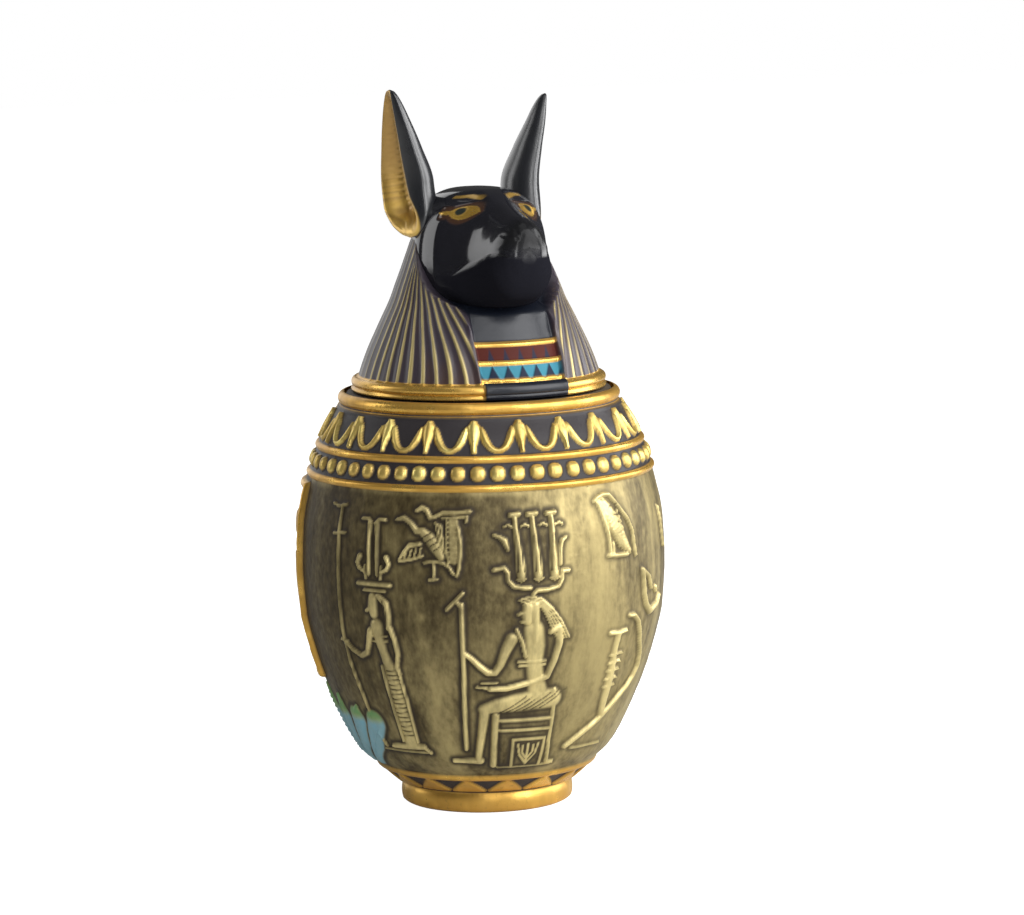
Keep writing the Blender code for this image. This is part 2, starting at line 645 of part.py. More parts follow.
def flange_outline():
    """Return the outline of the flange with the locating spigot under it."""
    spigot = MOUTH_RADIUS - SPIGOT_CLEARANCE
    return [
        (0.0, FLANGE_TOP + 1.0 * MM),
        (FLANGE_RADIUS - 3.0 * MM, FLANGE_TOP + 0.4 * MM),
        (FLANGE_RADIUS - FLANGE_SHOULDER, FLANGE_TOP - 0.3 * MM),
        (FLANGE_RADIUS, FLANGE_TOP - 1.4 * MM),
        (FLANGE_RADIUS - 0.3 * MM, LID_DATUM + 1.2 * MM),
        (FLANGE_RADIUS - 1.2 * MM, LID_DATUM),
        (spigot, LID_DATUM),
        (spigot, LID_DATUM - SPIGOT_DEPTH + 1.0 * MM),
        (spigot - 1.0 * MM, LID_DATUM - SPIGOT_DEPTH),
        (0.0, LID_DATUM - SPIGOT_DEPTH),
    ]


def hollow_outline():
    """Return the outline of the space inside the lid."""
    base = LID_DATUM - SPIGOT_DEPTH
    mouth = MOUTH_RADIUS - SPIGOT_CLEARANCE - SPIGOT_THICKNESS
    cone = [(wig_radius(z) - HOLLOW_WALL, z) for z in (HOLLOW_SHOULDER, 182.0 * MM, 166.0 * MM)]
    return [
        (0.0, HOLLOW_TOP),
        (10.0 * MM, HOLLOW_TOP - 1.5 * MM),
        *cone,
        (mouth, 157.0 * MM),
        (mouth, base - 2.0 * MM),
        (0.0, base - 2.0 * MM),
    ]


def build_lid(collection, cutters, mat):
    """Model the lid: flange, wig, head, ears, collar and the hollow beneath."""
    lid = lathe("jackal_head_lid", flange_outline(), LID_STEPS, collection)
    flatten(lid)
    boolean(lid, wig_solid(collection), "UNION", False)
    boolean(lid, head_solid(collection), "UNION", False)
    boolean(lid, ear_solid(-1.0, LEFT_EAR_STRETCH, collection), "UNION", False)
    boolean(lid, ear_solid(1.0, RIGHT_EAR_STRETCH, collection), "UNION", False)
    boolean(lid, face_details(collection), "UNION", True)
    hollow = lathe("lid_hollow", hollow_outline(), INNER_STEPS, cutters)
    hollow.hide_render = True
    hollow.display_type = "WIRE"
    flatten(hollow)
    boolean(lid, hollow, "DIFFERENCE", False)
    lid.data.materials.clear()
    lid.data.materials.append(mat)
    # The lid is drawn from its own datum, and then set on the rim
    lid.data.transform(Matrix.Translation((0.0, 0.0, RIM_TOP + LID_GAP - LID_DATUM)))
    return lid


def main():
    """Build the jar and its lid."""
    clear_scene()
    collection = bpy.data.collections.new("canopic_jar")
    cutters = bpy.data.collections.new("cutters")
    bpy.context.scene.collection.children.link(collection)
    bpy.context.scene.collection.children.link(cutters)
    jar_mat = material("antique_gold", JAR_GOLD, 0.42, 0.7)
    lid_mat = material("gloss_black", BLACK_GLOSS, 0.2, 0.0)
    jar = build_jar(collection, jar_mat)
    lid = build_lid(collection, cutters, lid_mat)
    for obj in (jar, lid):
        obj.data.shade_smooth()
        obj.data.set_sharp_from_angle(angle=math.radians(35.0))


main()
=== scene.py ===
"""Studio scene of a cast resin canopic jar whose lid is a jackal's head.

The jar's wall and the lid's wig are turned surfaces with carved relief raised on them, the
head and ears are lofts, and every finish is a procedural paint that reads the masks which
the carving leaves on each mesh.
"""

from __future__ import annotations

import logging
import math
from dataclasses import dataclass, field
from enum import Enum

import bpy
import numpy as np
from mathutils import Matrix, Vector

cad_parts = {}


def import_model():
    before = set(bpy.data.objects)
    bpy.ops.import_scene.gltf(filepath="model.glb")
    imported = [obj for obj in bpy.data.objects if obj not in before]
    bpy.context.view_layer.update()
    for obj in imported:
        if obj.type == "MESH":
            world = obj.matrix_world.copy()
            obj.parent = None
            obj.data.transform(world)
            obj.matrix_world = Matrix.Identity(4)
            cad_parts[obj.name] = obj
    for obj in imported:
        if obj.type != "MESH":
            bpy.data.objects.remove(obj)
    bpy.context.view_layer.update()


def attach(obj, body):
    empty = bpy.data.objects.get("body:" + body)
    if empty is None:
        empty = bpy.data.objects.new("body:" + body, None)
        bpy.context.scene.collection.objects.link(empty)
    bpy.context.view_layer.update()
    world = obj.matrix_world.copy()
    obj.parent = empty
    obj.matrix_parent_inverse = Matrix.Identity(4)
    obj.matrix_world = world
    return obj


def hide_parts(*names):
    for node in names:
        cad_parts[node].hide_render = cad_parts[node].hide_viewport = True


LOG = logging.getLogger("canopic_jar")
MM = 0.001
BODY = "root"
JAR_NODE = "jar_body"
LID_NODE = "jackal_head_lid"
WELD_REACH = 0.00001
NOISE_CELLS = 256
FAR_SHARE = 9.0
FAR_MM = 99.0
SHADOW_REACH = 1.8
CAMERA_TURN = 23.0
GRAIN_DEPTH = 0.0006
GRAIN_SPREAD = 0.22

Array = np.ndarray
Point = tuple[float, float]
Color = tuple[float, float, float, float]


# Curves and grids


def smooth_table(keys: Array, values: Array, at: Array) -> Array:
    """Interpolate a table smoothly without overshoot.

    Args:
        keys: Increasing positions of the table.
        values: Value at each position.
        at: Positions to read.

    Returns:
        The value at each position read.
    """
    steps = np.diff(keys)
    slopes = np.diff(values) / steps
    tangents = np.empty_like(values, dtype=float)
    tangents[0], tangents[-1] = slopes[0], slopes[-1]
    same = slopes[:-1] * slopes[1:] > 0.0
    total = slopes[:-1] + slopes[1:]
    tangents[1:-1] = np.where(same, 2.0 * slopes[:-1] * slopes[1:] / np.where(same, total, 1.0), 0.0)
    cell = np.clip(np.searchsorted(keys, at) - 1, 0, len(steps) - 1)
    width = steps[cell]
    t = np.clip((at - keys[cell]) / width, 0.0, 1.0)
    t2, t3 = t * t, t * t * t
    return (
        (2 * t3 - 3 * t2 + 1) * values[cell]
        + (t3 - 2 * t2 + t) * width * tangents[cell]
        + (3 * t2 - 2 * t3) * values[cell + 1]
        + (t3 - t2) * width * tangents[cell + 1]
    )


def smoothstep(low: float, high: float, value: Array) -> Array:
    """Return 0 below `low`, 1 above `high` and a soft rise between."""
    t = np.clip((value - low) / (high - low), 0.0, 1.0)
    return t * t * (3.0 - 2.0 * t)


def value_noise(u: Array, v: Array, seed: int) -> Array:
    """Return soft repeatable noise from 0 to 1 over two coordinate arrays of unit cell size."""
    rng = np.random.default_rng(seed)
    table = rng.random((NOISE_CELLS, NOISE_CELLS))
    iu, iv = np.floor(u).astype(int), np.floor(v).astype(int)
    fu, fv = u - iu, v - iv
    fu, fv = fu * fu * (3 - 2 * fu), fv * fv * (3 - 2 * fv)
    u0, u1, v0, v1 = (index % NOISE_CELLS for index in (iu, iu + 1, iv, iv + 1))
    a, b = table[u0, v0], table[u1, v0]
    c, d = table[u0, v1], table[u1, v1]
    return (a * (1 - fu) + b * fu) * (1 - fv) + (c * (1 - fu) + d * fu) * fv


def grid_mesh(name: str, points: Array, masks: dict[str, Array], wrap: bool = True) -> bpy.types.Object:
    """Make a smooth mesh object from a grid of points.

    Args:
        name: Name of the object.
        points: Array of rows, columns and 3 coordinates, in metres.
        masks: Painted masks, one value for each grid point.
        wrap: Whether the last column joins the first.

    Returns:
        The linked object.
    """
    rows, cols = points.shape[:2]
    mesh = bpy.data.meshes.new(name)
    index = np.arange(rows * cols).reshape(rows, cols)
    right = np.roll(index, -1, axis=1) if wrap else index[:, 1:]
    left = index if wrap else index[:, :-1]
    quads = np.stack([left[:-1], right[:-1], right[1:], left[1:]], axis=-1).reshape(-1, 4)
    mesh.vertices.add(rows * cols)
    mesh.vertices.foreach_set("co", points.reshape(-1).astype(np.float32))
    mesh.loops.add(quads.size)
    mesh.loops.foreach_set("vertex_index", quads.reshape(-1).astype(np.int32))
    mesh.polygons.add(len(quads))
    mesh.polygons.foreach_set("loop_start", np.arange(0, quads.size, 4, dtype=np.int32))
    mesh.update(calc_edges=True)
    mesh.validate()
    for label, values in masks.items():
        layer = mesh.attributes.new(label, "FLOAT", "POINT")
        layer.data.foreach_set("value", values.reshape(-1).astype(np.float32))
    mesh.shade_smooth()
    obj = bpy.data.objects.new(name, mesh)
    bpy.context.scene.collection.objects.link(obj)
    return obj


def turned_body(name: str, profile: Array, step_deg: float) -> bpy.types.Object:
    """Turn a closed profile into a plain mesh with its ends welded.

    Args:
        name: Name of the object.
        profile: Rows of radius and height, in mm, outside up and inside down.
        step_deg: Angle between columns.

    Returns:
        The linked object.
    """
    theta = np.radians(np.arange(0.0, 360.0, step_deg))
    radius, height = profile[:, 0, None], profile[:, 1, None]
    level = np.broadcast_to(height, (len(profile), len(theta)))
    points = np.stack([radius * np.sin(theta), -radius * np.cos(theta), level], axis=-1) * MM
    body = grid_mesh(name, points, {})
    weld = body.modifiers.new("joints", "WELD")
    weld.merge_threshold = WELD_REACH
    return body


def grid_normals(points: Array, wrap: bool = True) -> Array:
    """Return outward unit normals of a grid whose columns run counterclockwise seen from above."""
    if wrap:
        across = np.roll(points, -1, axis=1) - np.roll(points, 1, axis=1)
    else:
        across = np.gradient(points, axis=1)
    upward = np.gradient(points, axis=0)
    normal = np.cross(across, upward)
    length = np.linalg.norm(normal, axis=-1, keepdims=True)
    return normal / np.maximum(length, 1e-12)


class Relief:
    """Carving raised on a turned surface, in degrees round it and mm above the underside."""

    def __init__(self, theta_deg: Array, rows_r: Array, rows_z: Array, labels: tuple[str, ...]) -> None:
        """Start with a plain surface.

        Args:
            theta_deg: Angle of each column from the jackal's facing direction.
            rows_r: Radius of each row, in mm.
            rows_z: Height of each row, in mm.
            labels: Names of the painted masks.
        """
        self.theta = theta_deg
        self.radius = rows_r
        self.z = rows_z
        self.lift = np.zeros((len(rows_z), len(theta_deg)))
        self.masks = {label: np.zeros_like(self.lift) for label in labels}

    def points(self, wrap: bool = True) -> Array:
        """Return the carved surface's points, in metres."""
        theta = np.radians(self.theta)[None, :]
        base = np.stack(
            [self.radius[:, None] * np.sin(theta), -self.radius[:, None] * np.cos(theta),
             np.broadcast_to(self.z[:, None], self.lift.shape)], axis=-1)
        return (base + grid_normals(base, wrap) * self.lift[..., None]) * MM

    def wrapped(self, middle: float) -> float:
        """Return an angle moved by whole turns to lie among the columns."""
        centre = 0.5 * (self.theta[0] + self.theta[-1])
        return middle + 360.0 * round((centre - middle) / 360.0)

    def block(self, low: Point, high: Point) -> tuple[slice, slice]:
        """Return the row and column slices that hold the box between two (deg, mm) corners."""
        rows = np.nonzero((self.z >= low[1]) & (self.z <= high[1]))[0]
        cols = np.nonzero((self.theta >= low[0]) & (self.theta <= high[0]))[0]
        if not len(rows) or not len(cols):
            return slice(0, 0), slice(0, 0)
        return slice(rows[0], rows[-1] + 1), slice(cols[0], cols[-1] + 1)

    def nearness(self, points: list[Point], halves: list[float],
                 reach: float) -> tuple[tuple[slice, slice], Array, Array]:
        """Measure how near each grid point lies to a stroke.

        Args:
            points: The stroke's (deg, mm) points.
            halves: Its half width at each point, in mm.
            reach: How far beyond its edge to look, in mm.

        Returns:
            The block of the grid, the distance as a share of the half width, and in mm beyond the edge.
        """
        degs = [p[0] for p in points]
        highs = [p[1] for p in points]
        pad = max(halves) + reach
        middle_r = float(np.interp(0.5 * (min(highs) + max(highs)), self.z, self.radius))
        pad_deg = math.degrees(pad / max(middle_r - 12.0, 20.0))
        area = self.block((min(degs) - pad_deg, min(highs) - pad),
                          (max(degs) + pad_deg, max(highs) + pad))
        z = self.z[area[0]][:, None]
        scale = np.radians(1.0) * self.radius[area[0]][:, None]
        theta = self.theta[area[1]][None, :]
        share = np.full(np.broadcast_shapes(z.shape, theta.shape), FAR_SHARE)
        beyond = np.full(share.shape, FAR_MM)
        pairs = list(zip(points, halves))
        for ((d0, z0), w0), ((d1, z1), w1) in zip(pairs, pairs[1:]):
            run_u, run_z = (d1 - d0) * scale, z1 - z0
            u, v = (theta - d0) * scale, z - z0
            length2 = run_u * run_u + run_z * run_z + 1e-9
            t = np.clip((u * run_u + v * run_z) / length2, 0.0, 1.0)
            distance = np.hypot(u - t * run_u, v - t * run_z)
            width = w0 + (w1 - w0) * t
            share = np.minimum(share, distance / width)
            beyond = np.minimum(beyond, distance - width)
        return area, share, beyond

    def stroke(self, points: list[Point], halves: list[float], rise: float, flat: float = 0.0) -> None:
        """Raise a rounded stroke and mark its crest and the shadow beside it.

        Args:
            points: The stroke's (deg, mm) points.
            halves: Its half width at each point, in mm.
            rise: Its height, in mm.
            flat: Share of its width that stays flat on top.
        """
        area, share, beyond = self.nearness(points, halves, SHADOW_REACH)
        if not share.size:
            return
        inner = np.clip((share - flat) / (1.0 - flat), 0.0, 1.0)
        dome = np.cos(inner * math.pi / 2.0) ** 1.1
        self.lift[area] = np.maximum(self.lift[area], rise * dome)
        crest, shadow = self.masks["crest"], self.masks["shadow"]
        crest[area] = np.maximum(crest[area], smoothstep(1.05, 0.55, share))
        shadow[area] = np.maximum(shadow[area], smoothstep(2.0, 0.3, np.abs(beyond - 0.1)))

    def plate(self, low: Point, high: Point, rise: float, soft: float = 0.7) -> None:
        """Raise a low rectangle between two (deg, mm) corners, with painted shadow round its edge.

        Args:
            low: Lower left corner.
            high: Upper right corner.
            rise: Its height, in mm.
            soft: Width of its rounded edge, in mm.
        """
        scale = np.radians(1.0) * self.radius[:, None]
        theta, z = self.theta[None, :], self.z[:, None]
        inset = np.minimum(theta - low[0], high[0] - theta) * scale
        inset = np.minimum(inset, np.minimum(z - low[1], high[1] - z))
        self.lift[:] = np.maximum(self.lift, rise * smoothstep(-soft, soft, inset))
        shadow = self.masks["shadow"]
        shadow[:] = np.maximum(shadow, smoothstep(SHADOW_REACH, 0.3, np.abs(inset + 0.7)))

    def groove(self, points: list[Point], half: float, depth: float) -> None:
        """Cut a soft groove and paint shadow in it."""
        area, share, _ = self.nearness(points, [half] * len(points), 1.0)
        if not share.size:
            return
        cut = smoothstep(1.25, 0.2, share)
        self.lift[area] -= depth * cut
        self.masks["shadow"][area] = np.maximum(self.masks["shadow"][area], cut)
        self.masks["crest"][area] *= 1.0 - cut


# Figures of the frieze


@dataclass
class WallFigure:
    """Strokes drawn from a middle angle and a ground line, in degrees and mm."""

    relief: Relief
    middle: float
    ground: float
    mirrored: bool = False

    def __post_init__(self) -> None:
        """Bring the middle angle among the columns of the piece."""
        self.middle = self.relief.wrapped(self.middle)

    def place(self, points: list[Point]) -> list[Point]:
        """Return the points on the wall."""
        sign = -1.0 if self.mirrored else 1.0
        return [(self.middle + sign * x, self.ground + y) for x, y in points]

    def line(self, points: list[Point], half: float = 0.8, rise: float = 1.2) -> None:
        """Raise a thin rounded stroke."""
        self.relief.stroke(self.place(points), [half] * len(points), rise)

    def limb(self, points: list[Point], halves: list[float], rise: float = 1.3) -> None:
        """Raise a fuller stroke whose width changes."""
        self.relief.stroke(self.place(points), halves, rise, 0.25)

    def cut(self, points: list[Point], half: float = 0.35, depth: float = 0.45) -> None:
        """Cut a thin line into what is raised."""
        self.relief.groove(self.place(points), half, depth)

    def field(self, points: list[Point], halves: list[float], rise: float) -> None:
        """Raise a low plain field."""
        self.relief.stroke(self.place(points), halves, rise, 0.8)


class SeatedRuler(WallFigure):
    """An enthroned figure in profile with a triple crown and a long staff."""

    def carve(self) -> None:
        """Raise every stroke of the figure."""
        self.throne()
        self.body()
        self.head()
        self.crown()

    def throne(self) -> None:
        """Raise the seat, its frame and the plant on its side."""
        self.relief.plate((self.middle - 7.8, self.ground + 0.4),
                          (self.middle + 12.0, self.ground + 19.4), 0.6)
        self.line([(11.2, 30), (12.2, 20), (12.6, 10), (14.2, 1.2), (17.2, 0.9)], 0.8, 1.1)
        self.line([(-8.2, 19.0), (11.8, 19.0)], 0.5, 0.9)
        self.line([(-8.2, 15.2), (11.6, 15.0)], 0.45, 0.85)
        self.line([(-2.4, 0.8), (-2.4, 11.4), (10.4, 11.4), (10.6, 0.8)], 0.6, 1.1)
        self.line([(-0.2, 9.2), (0.6, 5.4), (4.0, 1.6), (7.4, 5.4), (8.2, 9.2)], 0.45, 1.0)
        self.line([(4.0, 1.6), (4.0, 9.4)], 0.45, 1.0)
        self.line([(4.0, 3.4), (1.8, 6.0), (1.8, 8.8)], 0.4, 0.9)
        self.line([(4.0, 3.4), (6.2, 6.0), (6.2, 8.8)], 0.4, 0.9)
        self.line([(-8.4, 0.2), (16.0, 0.2)], 0.5, 0.8)

    def body(self) -> None:
        """Raise the legs, lap, trunk and arms."""
        self.limb([(-13.2, 23), (-14.7, 13.3), (-16.4, 4.4)], [2.1, 1.6, 1.35])
        self.limb([(-27.0, 3.0), (-20.0, 3.1), (-15.4, 3.0)], [0.8, 1.1, 1.4], 1.2)
        self.limb([(-9.4, 21.0), (-9.9, 10), (-10.1, 1.2)], [1.5, 1.25, 1.3], 1.1)
        self.limb([(-13.6, 23.6), (-9.0, 24.8), (-2.0, 25.8), (5.5, 26.6), (10.6, 26.6)],
                  [2.2, 3.0, 3.8, 4.3, 4.2], 1.15)
        for step in range(6):
            start = -8.5 + 3.0 * step
            self.cut([(start, 21.8 + 0.3 * step), (start + 4.5, 24.6 + 0.4 * step),
                      (start + 9.5, 28.2 + 0.3 * step)])
        self.limb([(2.6, 53), (3.2, 47), (3.2, 41), (4.2, 34), (5.0, 30)], [4.0, 4.0, 3.4, 3.4, 4.0],
                  0.75)
        self.line([(-3.0, 53.3), (-1.1, 48.7), (0.1, 43.3)], 0.75, 1.3)
        self.line([(-2.2, 41.4), (7.0, 41.4)], 0.45, 1.15)
        self.line([(-2.0, 39.9), (7.0, 39.9)], 0.4, 1.1)
        self.limb([(-19.0, 44.8), (-17.2, 43.2), (-14.5, 40), (-12.0, 37.7), (-9.7, 37.7), (-8.0, 40.5),
                   (-6.2, 46), (-4.4, 50)],
                  [1.0, 1.1, 1.25, 1.35, 1.45, 1.6, 2.1, 2.5], 1.35)
        self.limb([(8.0, 52), (10.6, 53.4), (11.2, 48), (9.9, 41.3), (7.8, 35.4), (3.5, 33.7),
                   (-6.1, 31.4), (-11.5, 31.4)],
                  [1.2, 1.4, 1.5, 1.4, 1.35, 1.3, 1.15, 0.95], 1.45)
        self.line([(-11.5, 31.6), (-15.8, 32.3)], 0.45, 1.2)
        self.line([(-14.0, 33.6), (-9.0, 33.8)], 0.4, 1.0)

    def head(self) -> None:
        """Raise the calm profile, the striped wig and the staff."""
        self.limb([(0.8, 61.6), (0.4, 58.6), (0.6, 56.4)], [2.3, 2.5, 1.9], 1.25)
        self.line([(-2.3, 58.9), (-0.8, 59.6)], 0.7, 1.2)
        self.line([(-1.4, 56.2), (0.6, 56.0)], 0.6, 1.15)
        self.limb([(3.0, 62), (3.2, 55), (2.9, 49)], [1.7, 1.5, 1.3], 1.2)
        for step in range(5):
            inner = 0.75 * step
            self.line([(-2.0 + 0.9 * inner, 64.0 - inner), (1.6 + 0.2 * inner, 65.2 - inner),
                       (4.9, 64.2 - inner),
                       (8.2 - 0.5 * inner, 60.6 - inner), (11.6 - inner, 55.2 - 0.8 * inner),
                       (14.2 - 1.25 * inner, 49.4 - 0.1 * inner)], 0.42, 1.25 - 0.05 * step)
        self.limb([(-19.6, 63.0), (-19.6, 50), (-19.7, 40), (-20.3, 26.7), (-21.1, 8)],
                  [0.95, 0.95, 0.95, 0.95, 0.9], 1.25)
        self.line([(-24.2, 61.2), (-21.6, 64.2), (-19.2, 67.1)], 0.75, 1.25)
        self.line([(-21.4, 64.4), (-19.8, 62.2)], 0.8, 1.2)

    def crown(self) -> None:
        """Raise the triple crown with its horns and rearing snakes."""
        for top, foot in ((-2.8, -1.3), (2.8, 4.1), (8.9, 9.3)):
            middle = 0.5 * (top + foot)
            self.limb([(top, 93.0), (top + 0.1, 89.6), (middle, 83), (foot - 0.1, 76), (foot, 72.6)],
                      [1.0, 0.95, 1.4, 1.9, 1.7], 1.35)
            self.cut([(middle - 0.5, 87), (foot - 0.9, 74)], 0.3, 0.5)
            self.cut([(middle + 0.6, 87), (foot + 0.8, 74)], 0.3, 0.5)
            self.limb([(top - 1.3, 94.2), (top + 1.3, 94.4)], [1.0, 1.0], 1.4)
            self.line([(foot - 1.4, 71.6), (foot, 70.6), (foot + 1.4, 71.6)], 0.4, 1.1)
        self.limb([(-9.4, 87.5), (-7.6, 86.7), (-6.2, 85.4), (-5.2, 82.3)], [0.5, 0.9, 1.3, 0.8], 1.3)
        self.line([(-9.6, 75.2), (-6.6, 75.8), (-5.4, 74), (-5.3, 71.2), (-3.6, 69.0), (-0.6, 68.3),
                   (1.4, 68.2)], 0.85, 1.3)
        self.limb([(13.4, 85.4), (12.0, 84.4), (11.4, 82), (11.2, 76)], [0.6, 0.9, 0.85, 0.7], 1.25)
        self.line([(13.8, 73.5), (11.8, 73.6), (11.6, 70.6), (10.4, 68.2), (7.0, 67.3), (3.6, 67.2),
                   (2.2, 65.9)], 0.85, 1.3)
        for left in (-6.2, -0.9, 4.9, 10.2):
            self.line([(left, 90.2), (left + 1.2, 90.9), (left + 2.4, 90.1)], 0.45, 1.1)


class StandingLady(WallFigure):
    """A standing figure in a long pleated dress with tall plumes and a thin staff."""

    def carve(self) -> None:
        """Raise every stroke of the figure."""
        for side in (-1.0, 1.0):
            self.line([(side * 1.6, 85), (side * 1.6, 66.5)], 0.62, 1.2)
            self.line([(side * 0.9, 84.4), (side * 1.4, 66.5)], 0.4, 0.9)
            self.line([(side * 0.7, 84.8), (side * 2.2, 86.4), (side * 4.3, 86.2)], 0.7, 1.25)
            self.limb([(side * 4.9, 73.0), (side * 5.9, 70.6), (side * 5.0, 68.6), (side * 3.2, 67.6)],
                      [1.15, 0.8, 0.8, 0.7], 1.3)
            self.line([(side * 3.1, 69.6), (side * 2.7, 65.0)], 0.5, 1.0)
        self.line([(-5.8, 63.1), (6.1, 63.1)], 0.9, 1.35)
        self.line([(-3.6, 60.8), (4.2, 60.8)], 0.55, 1.0)
        self.limb([(-0.3, 58.2), (-0.6, 55), (-0.2, 52.2)], [2.1, 2.4, 1.8], 1.25)
        self.line([(-3.0, 53.4), (-1.6, 54.4)], 0.75, 1.15)
        self.limb([(1.8, 59), (4.4, 56.4), (5.0, 52), (4.8, 47.5)], [1.2, 1.5, 1.4, 1.1], 1.2)
        self.cut([(3.2, 58), (4.4, 53), (4.2, 48)], 0.3, 0.4)
        self.limb([(0.4, 48), (0.8, 44), (1.6, 39), (2.6, 34)], [3.0, 2.5, 2.0, 2.3], 1.05)
        self.line([(-2.2, 44.2), (3.8, 44.4)], 0.4, 1.2)
        self.line([(-1.8, 42.3), (3.8, 42.6)], 0.4, 1.2)
        self.limb([(2.9, 33), (3.7, 24), (3.9, 14), (4.0, 4)], [2.7, 3.1, 3.2, 3.5], 0.95)
        self.line([(0.1, 33), (0.6, 20.7), (0.7, 4)], 0.6, 1.25)
        self.line([(6.2, 31), (7.2, 20.7), (7.4, 4)], 0.6, 1.25)
        for step in range(15):
            z = 31.5 - 1.8 * step
            self.cut([(1.6, z), (6.2, z + 0.4)], 0.32, 0.45)
        self.limb([(-2.2, 46), (-3.4, 41.4), (-4.9, 37.6), (-7.6, 36.2), (-11.0, 38), (-13.7, 40.8)],
                  [1.5, 1.3, 1.15, 1.1, 1.0, 0.95], 1.3)
        self.limb([(5.4, 47.5), (6.6, 43.4), (7.0, 38), (5.8, 33), (6.6, 30.6)],
                  [1.2, 1.1, 1.05, 1.0, 0.7], 1.3)
        self.line([(-14.1, 90), (-14.5, 72), (-14.5, 54), (-14.1, 34), (-12.6, 20.7), (-12.0, 7.3),
                   (-10.0, 1)], 0.6, 1.15)
        self.line([(-18.8, 90.2), (-16.2, 89.5), (-12.2, 90.4)], 0.6, 1.15)
        self.line([(-17.0, 79.8), (-14.4, 80.2), (-11.6, 80.6)], 0.6, 1.15)
        self.line([(-15.6, 41.4), (-12.8, 41.0)], 0.7, 1.1)
        self.limb([(-5.8, 1.4), (2.0, 1.8), (9.4, 2.0)], [1.0, 1.3, 1.2], 1.15)
        self.line([(9.4, 1.8), (11.8, -0.3)], 0.7, 1.0)
        self.line([(-12.0, -0.4), (10.5, -0.2)], 0.45, 0.7)


class FlyingVulture(WallFigure):
    """A vulture with spread wings and barred feathers."""

    def carve(self) -> None:
        """Raise every stroke of the bird."""
        self.limb([(-12.1, 21.6), (-9.8, 22.4), (-7.2, 20.6), (-5.2, 17.8), (-3.2, 18.0)],
                  [0.6, 0.95, 1.0, 1.15, 1.3], 1.3)
        self.limb([(-5.6, 25), (-4.0, 26.1), (-2.3, 25.2), (-1.2, 22.8)], [0.7, 1.0, 0.95, 0.9], 1.25)
        self.line([(-1.2, 22.8), (0.2, 22.9), (2.7, 24.3), (5.8, 24.3), (11.4, 24.8)], 0.8, 1.3)
        self.line([(2.7, 22.6), (6.6, 22.7), (10.6, 23.0), (10.2, 21.3)], 0.55, 1.1)
        self.field([(6.2, 21.5), (6.5, 8)], [2.0, 1.9], 0.55)
        self.limb([(7.7, 19.4), (8.4, 14.3), (8.3, 9.7), (7.8, 4.6), (7.2, 2.1)],
                  [0.7, 0.85, 0.85, 0.75, 0.6], 1.3)
        for step in range(9):
            z = 21.2 - 1.75 * step
            self.line([(4.4, z), (7.4, z + 0.1)], 0.42, 1.05)
        self.line([(4.2, 22.0), (4.1, 12.0), (4.7, 5.8)], 0.45, 1.0)
        self.limb([(-3.4, 17.8), (-1.2, 15.6), (0.8, 12.6), (2.4, 9.0)], [1.6, 2.4, 2.5, 1.6], 1.15)
        for step in range(4):
            start = -2.8 + 1.3 * step
            self.cut([(start - 0.8, 15.4 - 1.4 * step), (start + 1.8, 17.2 - 1.4 * step)], 0.3, 0.4)
        for step in range(3):
            self.line([(0.6 + 0.9 * step, 21.0 - 0.4 * step), (2.4 + 0.6 * step, 12.0 - 0.8 * step)],
                      0.4, 1.0)
        self.limb([(-11.0, 7.6), (-9.4, 10.4), (-7.6, 12.8), (-4.2, 13.4)], [0.5, 0.8, 0.9, 0.9], 1.2)
        self.line([(-10.9, 7.1), (-7.0, 7.9), (-3.4, 9.2)], 0.6, 1.15)
        for step in range(4):
            x = -9.4 + 1.6 * step
            self.line([(x, 8.0 + 0.3 * step), (x + 0.7, 10.6 + 0.5 * step)], 0.4, 1.0)
        self.line([(-2.8, 6.9), (0.0, 7.3), (3.0, 6.9), (5.0, 5.2), (5.9, 3.2), (7.3, 2.3)], 0.65, 1.2)
        self.line([(0.0, 7.0), (0.2, 3.4), (-0.1, 0.8)], 0.6, 1.15)
        self.line([(-1.3, 0.8), (1.3, 1.0)], 0.5, 1.0)


class PerchedHawk(WallFigure):
    """A hawk on a short bar."""

    def carve(self) -> None:
        """Raise every stroke of the bird."""
        self.limb([(-5.0, 20.4), (-3.0, 17.0), (-0.6, 12), (2.0, 6.6), (5.6, 1.6)],
                  [1.9, 3.1, 3.9, 3.1, 1.4], 0.85)
        self.line([(-7.8, 20.6), (-6.4, 21.8), (-4.0, 22.6), (-1.3, 22.4), (1.2, 19.4), (3.4, 16.2),
                   (5.6, 13.0), (7.5, 8), (8.7, -0.7)], 0.75, 1.25)
        self.line([(-6.6, 20.0), (-5.6, 17.0), (-4.4, 12), (-3.4, 7.4), (-3.2, 1.0)], 0.8, 1.3)
        for step in range(5):
            start = -3.6 + 1.15 * step
            self.line([(start, 15.4 + 0.3 * step), (start + 1.9, 9.6 - 0.4 * step),
                       (start + 4.6, 3.4 - 0.8 * step)], 0.4, 1.25)
        for step in range(3):
            self.cut([(-2.8 + 1.6 * step, 17.8 - 2.6 * step), (1.8 + 1.4 * step, 19.0 - 4.2 * step)],
                     0.3, 0.4)
        self.cut([(-5.2, 20.8), (-4.4, 21.0)], 0.5, 0.5)
        self.line([(-3.9, 0.8), (4.5, 0.2)], 0.85, 1.25)
        self.line([(-1.6, 5.0), (-1.8, 1.2)], 0.6, 1.1)


